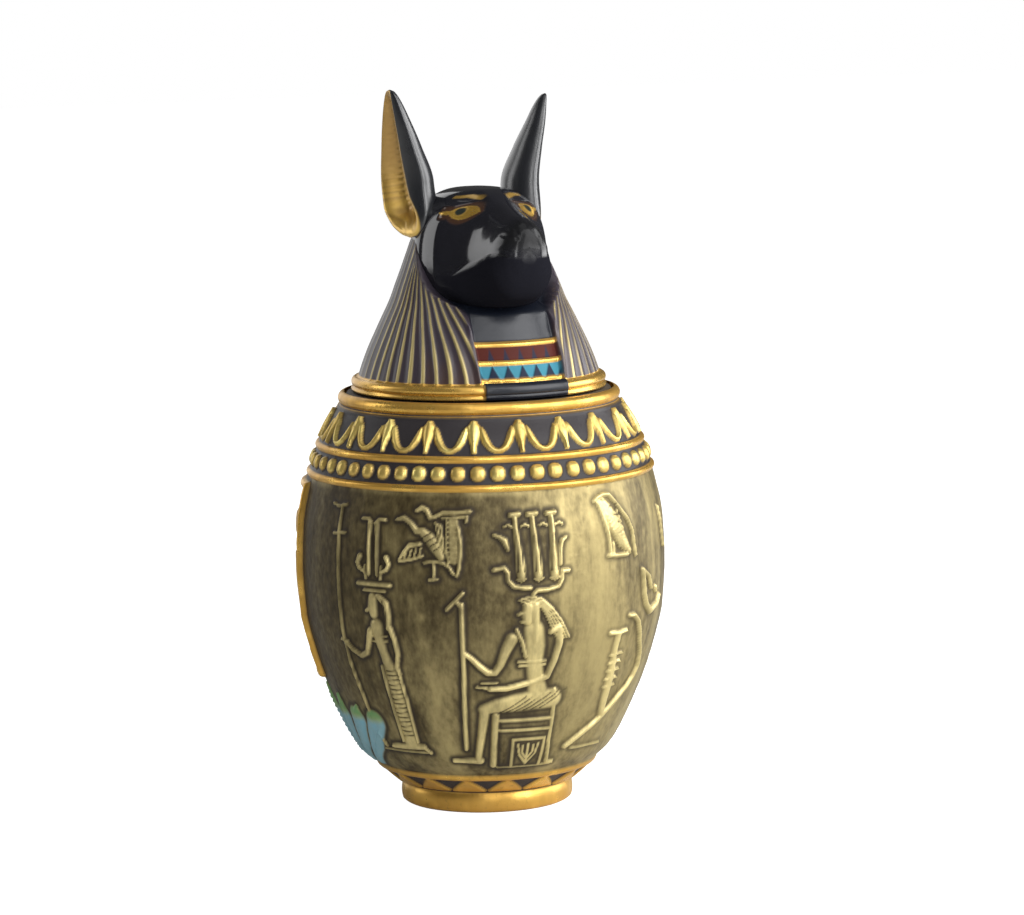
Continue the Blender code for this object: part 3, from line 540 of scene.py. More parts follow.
class OfferingStand(WallFigure):
    """A ribbed stand with a bent staff round it and a spouted bowl above."""

    def carve(self) -> None:
        """Raise every stroke of the group."""
        self.limb([(2.2, 48.6), (4.6, 48.4), (7.2, 46.0), (9.0, 42), (10.6, 38), (13.0, 33), (14.0, 28),
                   (12.6, 24), (10, 21),
                   (4.0, 15.6), (-3.0, 9.6), (-10, 5.2), (-16, 1.5)],
                  [0.8, 1.0, 1.05, 1.05, 1.05, 1.05, 1.05, 1.1, 1.1, 1.15, 1.2, 1.15, 1.0], 1.35)
        self.line([(-6.2, 43.3), (-2.4, 43.0), (1.2, 43.4)], 0.8, 1.3)
        self.limb([(-2.4, 42), (-2.9, 36), (-2.2, 27), (-2.0, 18), (-1.4, 13)],
                  [1.5, 1.3, 2.2, 2.0, 1.6], 1.15)
        for step in range(5):
            z = 35.0 - 3.0 * step
            self.line([(-4.4, z - 0.4), (-1.8, z + 0.3), (0.8, z + 0.1)], 0.5, 1.35)
        self.line([(-12.0, 0.2), (6.0, 0.0)], 0.5, 0.8)
        self.limb([(8.4, 64.6), (9.2, 60), (9.8, 55.4), (11.4, 51.6), (14.7, 48.2), (20.0, 49.8),
                   (21.8, 53)],
                  [0.9, 1.1, 1.2, 1.4, 1.6, 1.4, 1.0], 1.4)
        self.limb([(9.0, 64.2), (12.8, 61.2), (14.6, 56.5)], [0.9, 1.1, 0.8], 1.2)
        self.limb([(18.2, 56.5), (18.6, 54.9)], [1.0, 0.9], 1.2)
        self.line([(24.0, 85.0), (25.5, 78.0), (27.0, 70.0)], 0.7, 1.15)


class FramedPanel(WallFigure):
    """A raised field in a heavy frame with wings and plumes, over a fan of painted leaves."""

    half: float = 27.0
    low: float = 50.0
    high: float = 119.0

    def carve(self) -> None:
        """Raise the frame, its emblem and the leaves below."""
        relief = self.relief
        theta, z = relief.theta[None, :], relief.z[:, None]
        inside = smoothstep(self.half + 1.0, self.half - 0.4, np.abs(theta - self.middle))
        upright = smoothstep(self.low - 1.0, self.low + 0.4, z)
        inside = inside * upright * smoothstep(self.high + 1.0, self.high - 0.4, z)
        relief.lift[:] = np.maximum(relief.lift, 0.8 * inside)
        before = relief.lift.copy()
        rows = 12
        for side in (-1.0, 1.0):
            self.limb([(side * self.half,
                        self.low + (self.high - self.low) * k / rows) for k in range(rows + 1)],
                      [1.9] * (rows + 1), 2.2)
        for level in (self.low, self.high):
            self.limb([(-self.half + 2.0 * self.half * k / 8, level) for k in range(9)], [1.8] * 9, 2.2)
        for side in (-1.0, 1.0):
            self.limb([(side * 2.5, 103), (side * 8, 106.6), (side * 15, 107), (side * 22, 102)],
                      [2.4, 3.4, 3.0, 0.9], 1.7)
            for step in range(6):
                self.cut([(side * (6.0 + 2.4 * step), 108.6 - 0.5 * step),
                          (side * (5.4 + 2.2 * step), 102.0)], 0.3, 0.5)
            self.limb([(side * 3.2, 62), (side * 6.0, 72), (side * 6.6, 80), (side * 5.2, 89),
                       (side * 3.0, 95)], [0.8, 2.0, 2.9, 2.2, 0.9], 1.6)
            self.limb([(side * 13, 56), (side * 13.6, 72), (side * 18, 84), (side * 19, 94)],
                      [1.0, 1.0, 1.9, 0.8], 1.6)
        self.limb([(0.0, 102.0), (0.0, 105.5)], [3.2, 3.2], 2.0)
        self.limb([(0.0, 54.0), (0.0, 96.0)], [1.1, 1.1], 1.8)
        gilded = smoothstep(0.35, 0.9, relief.lift - before)
        relief.masks["gilt"][:] = np.maximum(relief.masks["gilt"], gilded)
        self.leaves()

    def leaves(self) -> None:
        """Raise the fan of leaves and paint it blue with green tips."""
        relief = self.relief
        base = relief.lift.copy()
        for step in range(-5, 6):
            lean = step * 11.6
            tip = 47.5 - 0.42 * step * step
            self.limb([(lean * 0.76, 18.8), (lean * 0.90, 27), (lean * 1.0, 36), (lean * 1.06, tip)],
                      [1.8, 4.0, 5.0, 0.9], 0.9)
            self.line([(lean * 0.80, 21), (lean * 1.02, tip - 3.5)], 0.4, 1.35)
        painted = smoothstep(0.05, 0.35, relief.lift - base)
        z = relief.z[:, None]
        relief.masks["blue"][:] = np.maximum(relief.masks["blue"], painted * smoothstep(39.0, 35.0, z))
        relief.masks["green"][:] = np.maximum(relief.masks["green"], painted * smoothstep(35.0, 39.0, z))


# Shader effects


class Effect(Enum):
    """Shader effects shared by several finishes."""

    BRUSH_WEAR = "brush_wear"
    CAST_GRAIN = "cast_grain"


def new_group(effect: Effect, inputs: dict[str, float],
              outputs: tuple[str, ...]) -> tuple[bpy.types.NodeTree, bpy.types.Node, bpy.types.Node]:
    """Start a shader node group with float inputs and outputs.

    Args:
        effect: The effect the group makes.
        inputs: Input names with their first values.
        outputs: Output names.

    Returns:
        The group tree, its input node and its output node.
    """
    tree = bpy.data.node_groups.new(effect.value, "ShaderNodeTree")
    for label, value in inputs.items():
        socket = tree.interface.new_socket(label, in_out="INPUT", socket_type="NodeSocketFloat")
        socket.default_value = value
    for label in outputs:
        tree.interface.new_socket(label, in_out="OUTPUT", socket_type="NodeSocketFloat")
    return tree, tree.nodes.new("NodeGroupInput"), tree.nodes.new("NodeGroupOutput")


class NodeBench:
    """Small helper that adds and joins nodes in one tree."""

    def __init__(self, tree: bpy.types.NodeTree) -> None:
        """Keep the tree."""
        self.tree = tree

    def add(self, kind: str, **values: object) -> bpy.types.Node:
        """Add a node and set its properties."""
        node = self.tree.nodes.new(kind)
        for label, value in values.items():
            setattr(node, label, value)
        return node

    def join(self, source: bpy.types.NodeSocket, target: bpy.types.NodeSocket) -> None:
        """Link two sockets."""
        self.tree.links.new(source, target)

    def feed(self, socket: bpy.types.NodeSocket, value: object) -> None:
        """Link a socket or set a plain value."""
        if isinstance(value, bpy.types.NodeSocket):
            self.join(value, socket)
        else:
            socket.default_value = value

    def math(self, operation: str, first: object, second: object = 0.0,
             clamp: bool = False) -> bpy.types.NodeSocket:
        """Return the result of a Math node."""
        node = self.add("ShaderNodeMath", operation=operation, use_clamp=clamp)
        self.feed(node.inputs[0], first)
        self.feed(node.inputs[1], second)
        return node.outputs[0]

    def mix(self, mask: object, first: object, second: object) -> bpy.types.NodeSocket:
        """Return `first` blended to `second` by a mask, as colours."""
        node = self.add("ShaderNodeMix", data_type="RGBA")
        self.feed(node.inputs["Factor"], mask)
        self.feed(node.inputs["A"], first)
        self.feed(node.inputs["B"], second)
        return node.outputs["Result"]

    def blend(self, mask: object, first: object, second: object) -> bpy.types.NodeSocket:
        """Return `first` blended to `second` by a mask, as numbers."""
        node = self.add("ShaderNodeMix", data_type="FLOAT")
        self.feed(node.inputs["Factor"], mask)
        self.feed(node.inputs["A"], first)
        self.feed(node.inputs["B"], second)
        return node.outputs["Result"]

    def mask(self, label: str) -> bpy.types.NodeSocket:
        """Return a painted mask of the mesh."""
        return self.add("ShaderNodeAttribute", attribute_name=label).outputs["Fac"]

    def ramp(self, value: object, low: float, high: float) -> bpy.types.NodeSocket:
        """Return 0 to 1 as a value goes from `low` to `high`."""
        node = self.add("ShaderNodeMapRange", interpolation_type="SMOOTHSTEP")
        self.feed(node.inputs["Value"], value)
        node.inputs["From Min"].default_value = low
        node.inputs["From Max"].default_value = high
        return node.outputs["Result"]

    def noise(self, scale: object, detail: float, stretch: tuple[float, float, float] = (1.0, 1.0, 1.0),
              rough: float = 0.55) -> bpy.types.NodeSocket:
        """Return noise in the object's own space, stretched along an axis."""
        place = self.add("ShaderNodeTexCoord")
        turn = self.add("ShaderNodeMapping")
        turn.inputs["Scale"].default_value = stretch
        self.join(place.outputs["Object"], turn.inputs["Vector"])
        node = self.add("ShaderNodeTexNoise")
        self.join(turn.outputs["Vector"], node.inputs["Vector"])
        self.feed(node.inputs["Scale"], scale)
        node.inputs["Detail"].default_value = detail
        node.inputs["Roughness"].default_value = rough
        return node.outputs["Fac"]

    def use(self, group: bpy.types.NodeTree, values: dict[str, object]) -> bpy.types.Node:
        """Place a node group with its inputs set."""
        node = self.add("ShaderNodeGroup", node_tree=group)
        for label, value in values.items():
            self.feed(node.inputs[label], value)
        return node


class EffectShelf:
    """The shared node groups, each built once."""

    def __init__(self) -> None:
        """Build every group."""
        self.groups = {Effect.BRUSH_WEAR: self.brush_wear(), Effect.CAST_GRAIN: self.cast_grain()}

    def brush_wear(self) -> bpy.types.NodeTree:
        """Uneven dry-brushed coverage: streaks down the piece, blotches and fine specks."""
        tree, source, target = new_group(Effect.BRUSH_WEAR,
                                         {"Streak Scale": 90.0, "Blotch Scale": 22.0, "Bias": 0.0},
                                         ("Cover", "Speck"))
        bench = NodeBench(tree)
        streak = bench.noise(source.outputs["Streak Scale"], 4.0, (1.0, 1.0, 0.12), 0.6)
        blotch = bench.noise(source.outputs["Blotch Scale"], 3.0, (1.0, 1.0, 0.7))
        speck = bench.noise(520.0, 2.0, (1.0, 1.0, 0.6))
        total = bench.math("ADD", bench.math("MULTIPLY", streak, 0.5),
                           bench.math("MULTIPLY", blotch, 0.4))
        total = bench.math("ADD", total, bench.math("MULTIPLY", speck, 0.14))
        total = bench.math("ADD", total, source.outputs["Bias"])
        bench.join(bench.ramp(total, 0.36, 0.68), target.inputs["Cover"])
        bench.join(speck, target.inputs["Speck"])
        return tree

    def cast_grain(self) -> bpy.types.NodeTree:
        """Fine height of a painted casting: brush ridges and small pits."""
        tree, source, target = new_group(Effect.CAST_GRAIN, {"Ridge Scale": 260.0, "Pit Scale": 900.0},
                                         ("Height",))
        bench = NodeBench(tree)
        ridges = bench.noise(source.outputs["Ridge Scale"], 3.0, (1.0, 1.0, 0.35))
        pits = bench.noise(source.outputs["Pit Scale"], 2.0)
        height = bench.math("ADD", bench.math("MULTIPLY", ridges, 0.65),
                            bench.math("MULTIPLY", pits, 0.35))
        bench.join(height, target.inputs["Height"])
        return tree


@dataclass(frozen=True)
class Paint:
    """One paint of the finish: colour, roughness and metal share."""

    color: Color
    roughness: float
    metallic: float


ANTIQUE_GOLD = Paint((0.46, 0.37, 0.165, 1.0), 0.40, 0.6)
DARK_UMBER = Paint((0.036, 0.024, 0.009, 1.0), 0.5, 0.2)
BRIGHT_GOLD = Paint((0.88, 0.54, 0.12, 1.0), 0.26, 0.8)
PALE_GOLD = Paint((0.84, 0.68, 0.22, 1.0), 0.32, 0.75)
ORANGE_WASH = Paint((0.42, 0.20, 0.03, 1.0), 0.40, 0.6)
PLUM_BLACK = Paint((0.034, 0.030, 0.032, 1.0), 0.36, 0.0)
GLOSS_BLACK = Paint((0.012, 0.012, 0.016, 1.0), 0.13, 0.0)
TURQUOISE = Paint((0.045, 0.22, 0.30, 1.0), 0.42, 0.0)
RED_BROWN = Paint((0.075, 0.013, 0.008, 1.0), 0.45, 0.0)
LEAF_GREEN = Paint((0.14, 0.34, 0.13, 1.0), 0.40, 0.0)
LEAF_BLUE = Paint((0.20, 0.45, 0.56, 1.0), 0.40, 0.0)
SHADOW_UMBER = Paint((0.035, 0.026, 0.016, 1.0), 0.5, 0.1)
CREST_GOLD = Paint((0.80, 0.66, 0.30, 1.0), 0.32, 0.55)
INDIGO_BLACK = Paint((0.044, 0.034, 0.044, 1.0), 0.36, 0.0)
WARM_PATCH = Paint((0.075, 0.045, 0.035, 1.0), 0.34, 0.1)
STRIPE_GOLD = Paint((0.62, 0.50, 0.20, 1.0), 0.38, 0.5)
CHEST_BLACK = Paint((0.006, 0.008, 0.014, 1.0), 0.34, 0.0)
NAVY = Paint((0.010, 0.018, 0.04, 1.0), 0.4, 0.0)
EYE_BROWN = Paint((0.10, 0.045, 0.02, 1.0), 0.3, 0.3)
EYE_GOLD = Paint((0.85, 0.52, 0.10, 1.0), 0.3, 0.85)
PUPIL = Paint((0.02, 0.025, 0.02, 1.0), 0.15, 0.0)
GROOVE_BLACK = Paint((0.005, 0.005, 0.006, 1.0), 0.35, 0.0)
NOSE_BLACK = Paint((0.010, 0.010, 0.011, 1.0), 0.33, 0.0)
EAR_BLACK = Paint((0.014, 0.015, 0.018, 1.0), 0.3, 0.0)
EAR_WASH = Paint((0.33, 0.17, 0.035, 1.0), 0.42, 0.5)
EAR_GOLD = Paint((0.95, 0.62, 0.13, 1.0), 0.34, 0.6)
JAR_RESIN = Paint((0.05, 0.042, 0.035, 1.0), 0.6, 0.0)
LID_RESIN = Paint((0.05, 0.045, 0.04, 1.0), 0.55, 0.0)


@dataclass
class PaintStack:
    """Layers of paint laid over one another by masks in one material."""

    name: str
    shelf: EffectShelf
    under: Paint
    bump: float = 0.12
    material: bpy.types.Material = field(init=False)

    def __post_init__(self) -> None:
        """Start with the first coat."""
        self.material = bpy.data.materials.new(self.name)
        self.material.use_nodes = True
        self.shader = self.material.node_tree.nodes["Principled BSDF"]
        self.bench = NodeBench(self.material.node_tree)
        self.color: object = self.under.color
        self.roughness: object = self.under.roughness
        self.metallic: object = self.under.metallic

    def coat(self, paint: Paint, mask: object) -> None:
        """Lay a paint where a mask is 1."""
        self.color = self.bench.mix(mask, self.color, paint.color)
        self.roughness = self.bench.blend(mask, self.roughness, paint.roughness)
        self.metallic = self.bench.blend(mask, self.metallic, paint.metallic)

    def finish(self, clear: object = None, clear_roughness: float = 0.1) -> bpy.types.Material:
        """Join the layers to the shader, with grain and a clear coat.

        Args:
            clear: Weight of the clear coat, a number or a socket, or None for no coat.
            clear_roughness: Its roughness.

        Returns:
            The finished material.
        """
        bench, shader = self.bench, self.shader
        grain = bench.use(self.shelf.groups[Effect.CAST_GRAIN], {})
        centred = bench.math("SUBTRACT", grain.outputs["Height"], 0.5)
        uneven = bench.math("MULTIPLY", centred, GRAIN_SPREAD)
        bench.feed(shader.inputs["Base Color"], self.color)
        bench.feed(shader.inputs["Roughness"], bench.math("ADD", self.roughness, uneven, clamp=True))
        bench.feed(shader.inputs["Metallic"], self.metallic)
        bump = bench.add("ShaderNodeBump")
        bump.inputs["Strength"].default_value = self.bump
        bump.inputs["Distance"].default_value = GRAIN_DEPTH
        bench.join(grain.outputs["Height"], bump.inputs["Height"])
        bench.join(bump.outputs["Normal"], shader.inputs["Normal"])
        if clear is not None:
            bench.feed(shader.inputs["Coat Weight"], clear)
            shader.inputs["Coat Roughness"].default_value = clear_roughness
        return self.material


def bare_resin(name: str, shelf: EffectShelf, under: Paint, wash: Paint) -> bpy.types.Material:
    """Return the unpainted casting of the hidden sides.

    Args:
        name: Name of the material.
        shelf: The shared effects.
        under: The resin's own colour.
        wash: The thin uneven stain on it.

    Returns:
        The finished material.
    """
    stack = PaintStack(name, shelf, under, bump=0.2)
    wear = stack.bench.use(shelf.groups[Effect.BRUSH_WEAR], {"Bias": -0.05})
    stack.coat(wash, wear.outputs["Cover"])
    return stack.finish()


# The jar


@dataclass
class JarBody:
    """The turned jar: carved outer wall, plain inside and underside."""

    shelf: EffectShelf
    height: float = 152.6
    mouth: float = 40.5
    rim: float = 51.8
    foot: float = 30.0
    lotus_count: int = 21
    lotus_phase: float = -25.2
    bead_count: int = 54
    bead_phase: float = -23.9
    wall: float = 6.0
    floor: float = 8.0
    skin: float = 1.2
    bead_level: float = 128.6
    bead_half: float = 2.45
    frieze: Point = (16.6, 122.0)
    front_joint: Point = (-113.0, 78.0)
    lotus_span: Point = (135.6, 145.8)
    triangle_top: float = 14.4
    triangle_rise: float = 5.4
    foot_top: float = 7.6
    rings: tuple[tuple[float, float, float], ...] = (
        (14.9, 1.1, 1.1), (123.6, 1.15, 1.25), (133.5, 1.15, 1.25))
    triangle_count: int = 16
    triangle_phase: float = -23.0
    wall_z: tuple[float, ...] = (
        7.6, 9.4, 14.0, 20.7, 28.2, 37.0, 48.0, 60.0, 73.3, 90.0, 105.0, 118.0, 130.0, 139.5, 146.5)
    wall_r: tuple[float, ...] = (
        30.9, 33.2, 38.4, 45.8, 50.5, 54.7, 59.3, 63.2, 66.2, 67.2, 66.6, 64.2, 60.6, 56.4, 52.2)

    def rows(self) -> tuple[Array, Array]:
        """Return radius and height of each row from the underside's edge to the mouth."""
        foot_r, foot_z = [self.foot - 2.0, self.foot, self.foot + 0.7], [0.0, 0.0, 0.35]
        for z in np.linspace(0.9, 7.2, 10):
            bulge = math.sqrt(max(0.0, 1.0 - ((z - 3.6) / 4.2) ** 2))
            foot_r.append(self.foot + 0.2 + 1.5 * bulge)
            foot_z.append(float(z))
        field_z = np.concatenate([np.arange(7.7, 17.0, 0.5), np.arange(17.0, 122.2, 0.54),
                                  np.arange(122.2, 147.2, 0.45)])
        field_r = smooth_table(np.array(self.wall_z), np.array(self.wall_r), field_z)
        rim_r, rim_z = [51.6], [147.6]
        for angle in np.linspace(-70.0, 90.0, 9):
            rim_r.append(self.rim - 2.3 + 2.3 * math.cos(math.radians(angle)))
            rim_z.append(150.3 + 2.3 * math.sin(math.radians(angle)))
        rim_r += [45.0, self.mouth + 0.4, self.mouth]
        rim_z += [152.6, 152.55, 151.6]
        radius = np.concatenate([foot_r, field_r, rim_r])
        height = np.concatenate([foot_z, field_z, rim_z])
        return radius, height

    def strip(self, name: str, span: Point, theta: Array, wrap: bool,
              finish: bpy.types.Material) -> bpy.types.Object:
        """Make one carved piece of the wall between two heights.

        Args:
            name: Name of the piece.
            span: Lowest and highest row, in mm.
            theta: Column angles, in degrees.
            wrap: Whether the piece goes all the way round.
            finish: Its material.

        Returns:
            The piece.
        """
        radius, height = self.rows()
        low = max(int(np.searchsorted(height, span[0])) - 1, 0)
        high = int(np.searchsorted(height, span[1])) + 1
        labels = ("crest", "shadow", "gilt", "pale", "ground", "patina_and_painted_shade", "blue", "green")
        relief = Relief(theta, radius[low:high], height[low:high], labels)
        if span[1] > 30.0 and span[0] < 100.0:
            FramedPanel(relief, middle=-128.0, ground=0.0).carve()
            SeatedRuler(relief, middle=-10.0, ground=20.0).carve()
            StandingLady(relief, middle=-58.5, ground=26.0).carve()
            FlyingVulture(relief, middle=-38.0, ground=91.0).carve()
            PerchedHawk(relief, middle=23.0, ground=96.0).carve()
            OfferingStand(relief, middle=27.0, ground=25.0).carve()
            StandingLady(relief, middle=118.0, ground=26.0, mirrored=True).carve()
        self.soften(relief)
        self.bands(relief)
        piece = grid_mesh(name, relief.points(wrap), relief.masks, wrap)
        piece.data.materials.append(finish)
        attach(piece, BODY)
        LOG.info("%s: %d points", name, len(piece.data.vertices))
        return piece

    def build(self) -> None:
        """Make and dress the jar's pieces."""
        finish = self.finish()
        round_theta = np.arange(-180.0, 180.0, 0.5)
        left, right = self.front_joint
        front_theta = np.arange(left, right + 0.01, 0.46)
        back_theta = np.concatenate([np.arange(front_theta[-1], 360.0 + left - 0.7, 0.7), [360.0 + left]])
        front = self.strip("jar_frieze_front", self.frieze, front_theta, False, finish)
        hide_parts(JAR_NODE)
        self.strip("jar_frieze_back", self.frieze, back_theta, False, finish)
        self.strip("jar_foot", (0.0, self.frieze[0]), round_theta, True, finish)
        self.strip("jar_shoulder", (self.frieze[1], self.height), round_theta, True, finish)
        core = self.core()
        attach(core, BODY)

    def soften(self, relief: Relief) -> None:
        """Let the hand of the mould maker show: slightly uneven wall and strokes, with the painted shadow
        weaker on the lit side and a mask of patina with painted shade.
        """
        theta = relief.theta[None, :] / 3.0
        z = relief.z[:, None] / 3.4
        wave = value_noise(theta + 64.0, z + 8.0, 3) - 0.5
        fine = value_noise(theta * 3.1 + 200.0, z * 2.7, 5) - 0.5
        inside = smoothstep(16.0, 20.0, relief.z)[:, None] * smoothstep(123.0, 120.0, relief.z)[:, None]
        joint = np.abs((relief.theta[None, :] - self.front_joint[0] + 180.0) % 360.0 - 180.0)
        wave = wave * smoothstep(0.0, 9.0, joint)
        fine = fine * smoothstep(0.0, 9.0, joint)
        relief.lift += inside * (0.16 * wave + 0.09 * fine)
        turn = (relief.theta[None, :] + CAMERA_TURN + 180.0) % 360.0 - 180.0
        height = relief.z[:, None]
        # Painted shade, partly patina: darker under the top ring and round the side away from the key
        # light, fading towards the back, half dark behind, and a dark patch on the middle front.
        dark = smoothstep(92.0, 122.0, height + 14.0 * wave) * smoothstep(24.0, -6.0, turn + 10.0 * wave)
        side = smoothstep(-26.0, -54.0, turn + 10.0 * wave) * smoothstep(24.0, 60.0, height)
        behind = smoothstep(-168.0, -110.0, turn)
        dark, side = dark * behind, side * behind
        back = smoothstep(100.0, 140.0, np.abs(turn)) * 0.5
        middle = 0.95 * smoothstep(26.0, 10.0, np.abs(turn + 6.0 + 12.0 * wave))
        middle = middle * smoothstep(50.0, 84.0, height)
        # Painted shadow beside the strokes is weaker on the side towards the key light.
        relief.masks["shadow"] *= 1.0 - 0.5 * smoothstep(14.0, 42.0, turn) * inside
        relief.masks["patina_and_painted_shade"][:] = np.maximum(np.maximum(dark, side), np.maximum(back, middle)) * inside

    def bands(self, relief: Relief) -> None:
        """Raise the rings, beads, lotus band, triangles, rim and foot."""
        z = relief.z[:, None]
        theta = relief.theta[None, :]
        scale = np.radians(1.0) * relief.radius[:, None]
        on_wall = (z > self.foot_top) & (z < 147.3)
        gilt, pale, ground = relief.masks["gilt"], relief.masks["pale"], relief.masks["ground"]
        for middle, half, rise in self.rings:
            share = np.abs(z - middle) / half
            dome = np.sqrt(np.clip(1.0 - share ** 2, 0.0, 1.0)) * np.ones_like(theta)
            relief.lift[:] = np.where(on_wall & (share < 1.0), np.maximum(relief.lift, rise * dome),
                                      relief.lift)
            gilt[:] = np.maximum(gilt, smoothstep(1.15, 0.85, share) * np.ones_like(theta) * on_wall)
        # Beads
        pitch = 360.0 / self.bead_count
        aside = ((theta - self.bead_phase + pitch / 2.0) % pitch - pitch / 2.0) * scale
        uneven = value_noise(theta / pitch * 1.3 + 40.0, np.full_like(z, 3.5), 23)
        reach = np.abs(aside) ** 2.4 + np.abs((z - self.bead_level) * 1.02) ** 2.4
        share = reach ** (1.0 / 2.4) / (self.bead_half + 0.45 * uneven)
        relief.lift[:] = np.maximum(relief.lift, 1.65 * np.sqrt(np.clip(1.0 - share ** 2, 0.0, 1.0)))
        pale[:] = np.maximum(pale, smoothstep(1.02, 0.82, share))
        bead_ground = smoothstep(124.2, 124.9, z) * smoothstep(133.0, 132.2, z)
        ground[:] = np.maximum(ground, bead_ground * np.ones_like(theta))
        # Lotus band
        self.lotus(relief, z, theta, scale)
        lotus_ground = smoothstep(134.0, 134.8, z) * smoothstep(148.2, 147.4, z)
        ground[:] = np.maximum(ground, lotus_ground * np.ones_like(theta))
        # Triangles above the foot
        pitch = 360.0 / self.triangle_count
        aside = np.abs((theta - self.triangle_phase) % pitch - pitch / 2.0) * scale
        wide = 0.5 * pitch * scale * np.clip((self.triangle_top - z) / self.triangle_rise, 0.0, 1.0)
        upright = smoothstep(0.35, -0.35, aside - wide) * (z > 8.8) * (z < 14.5)
        relief.lift[:] = np.maximum(relief.lift, 0.9 * upright)
        gilt[:] = np.maximum(gilt, upright)
        low_ground = smoothstep(7.3, 7.8, z) * smoothstep(self.triangle_top, 13.9, z)
        ground[:] = np.maximum(ground, low_ground * np.ones_like(theta))
        # Foot and rim
        ends = 0.8 * smoothstep(self.foot_top, 7.1, z) + smoothstep(147.5, 148.1, z)
        gilt[:] = np.maximum(gilt, ends * np.ones_like(theta))

    def lotus(self, relief: Relief, z: Array, theta: Array, scale: Array) -> None:
        """Raise the lotus band: a fat petal, and leaves that sweep down to their neighbours."""
        pitch = 360.0 / self.lotus_count
        aside = ((theta - self.lotus_phase + pitch / 2.0) % pitch - pitch / 2.0) * scale
        across = np.abs(aside)
        half_pitch = 0.5 * pitch * scale
        low, high = self.lotus_span
        band = (z > low - 1.2) & (z < high + 1.4)
        up = np.clip((z - low) / (high - low), 0.0, 1.0)
        petal = across / (0.85 + 1.6 * smoothstep(0.05, 0.72, up) - 1.5 * smoothstep(0.84, 1.06, up))
        petal = np.where((z > low - 0.2) & (z < high + 0.4), petal, FAR_SHARE)
        leaf = np.full(relief.lift.shape, FAR_SHARE)
        track = ((0.34, 0.80, 0.6), (0.38, 0.66, 1.2), (0.49, 0.42, 1.45), (0.66, 0.20, 1.2),
                 (0.84, 0.09, 0.95), (1.0, 0.06, 0.85))
        for (a0, b0, w0), (a1, b1, w1) in zip(track, track[1:]):
            x0, x1 = a0 * half_pitch, a1 * half_pitch
            y0, y1 = low + b0 * (high - low), low + b1 * (high - low)
            run_x, run_y = x1 - x0, y1 - y0
            t = np.clip(((across - x0) * run_x + (z - y0) * run_y) / (run_x ** 2 + run_y ** 2), 0.0, 1.0)
            distance = np.hypot(across - x0 - t * run_x, z - y0 - t * run_y)
            leaf = np.minimum(leaf, distance / (w0 + (w1 - w0) * t))
        for share, rise in ((petal, 1.5), (leaf, 1.25)):
            dome = np.cos(np.clip(share, 0.0, 1.0) * math.pi / 2.0) ** 0.8
            relief.lift[:] = np.where(band, np.maximum(relief.lift, rise * dome), relief.lift)
            painted = smoothstep(1.05, 0.7, share) * band
            relief.masks["pale"][:] = np.maximum(relief.masks["pale"], painted)

    def finish(self) -> bpy.types.Material:
        """Return the jar's paint: antique gold over umber, with bright gilding, dark bands, patina and
        painted shade.
        """
        stack = PaintStack("antique_gold_finish", self.shelf, DARK_UMBER, bump=0.25)
        bench = stack.bench
        wear = bench.use(self.shelf.groups[Effect.BRUSH_WEAR], {})
        cover = wear.outputs["Cover"]
        # Patina and painted shade thin the gold coat, leaving dark umber.
        patina_shade = bench.math("MULTIPLY", bench.mask("patina_and_painted_shade"),
                          bench.blend(wear.outputs["Speck"], 1.15, 0.55))
        thin = bench.math("SUBTRACT", 1.0, bench.math("MULTIPLY", patina_shade, 0.92), clamp=True)
        stack.coat(ANTIQUE_GOLD, bench.math("MULTIPLY", bench.math("MULTIPLY", cover, 0.92), thin))
        # Painted shadow beside the raised strokes.
        dark = bench.math("MULTIPLY", bench.mask("shadow"),
                          bench.math("SUBTRACT", 1.0, bench.mask("crest"), clamp=True))
        stack.coat(SHADOW_UMBER, bench.math("MULTIPLY", dark, 0.92))
        # Gold on the crests, duller under the patina and painted shade.
        crest = bench.math("MULTIPLY", bench.mask("crest"), bench.blend(cover, 0.42, 1.0))
        crest = bench.math("MULTIPLY", crest, bench.math("ADD", bench.math("MULTIPLY", thin, 0.6), 0.4))
        stack.coat(CREST_GOLD, crest)
        stack.coat(PLUM_BLACK, bench.mask("ground"))
        stack.coat(LEAF_BLUE, bench.math("MULTIPLY", bench.mask("blue"), bench.blend(cover, 0.75, 1.0)))
        stack.coat(LEAF_GREEN, bench.math("MULTIPLY", bench.mask("green"), bench.blend(cover, 0.75, 1.0)))
        chipped = bench.ramp(wear.outputs["Speck"], 0.28, 0.42)
        tone = bench.ramp(bench.noise(75.0, 2.0), 0.47, 0.66)
        gilt = bench.math("MULTIPLY", bench.mask("gilt"), bench.blend(chipped, 0.72, 1.0))
        stack.coat(ORANGE_WASH, gilt)
        stack.coat(BRIGHT_GOLD, bench.math("MULTIPLY", gilt, bench.blend(tone, 0.55, 1.0)))
        pale = bench.math("MULTIPLY", bench.mask("pale"), bench.blend(chipped, 0.6, 1.0))
        stack.coat(ORANGE_WASH, pale)
        stack.coat(PALE_GOLD, bench.math("MULTIPLY", pale, bench.blend(tone, 0.55, 1.0)))
        stack.shader.inputs["Specular IOR Level"].default_value = 0.2
        return stack.finish()

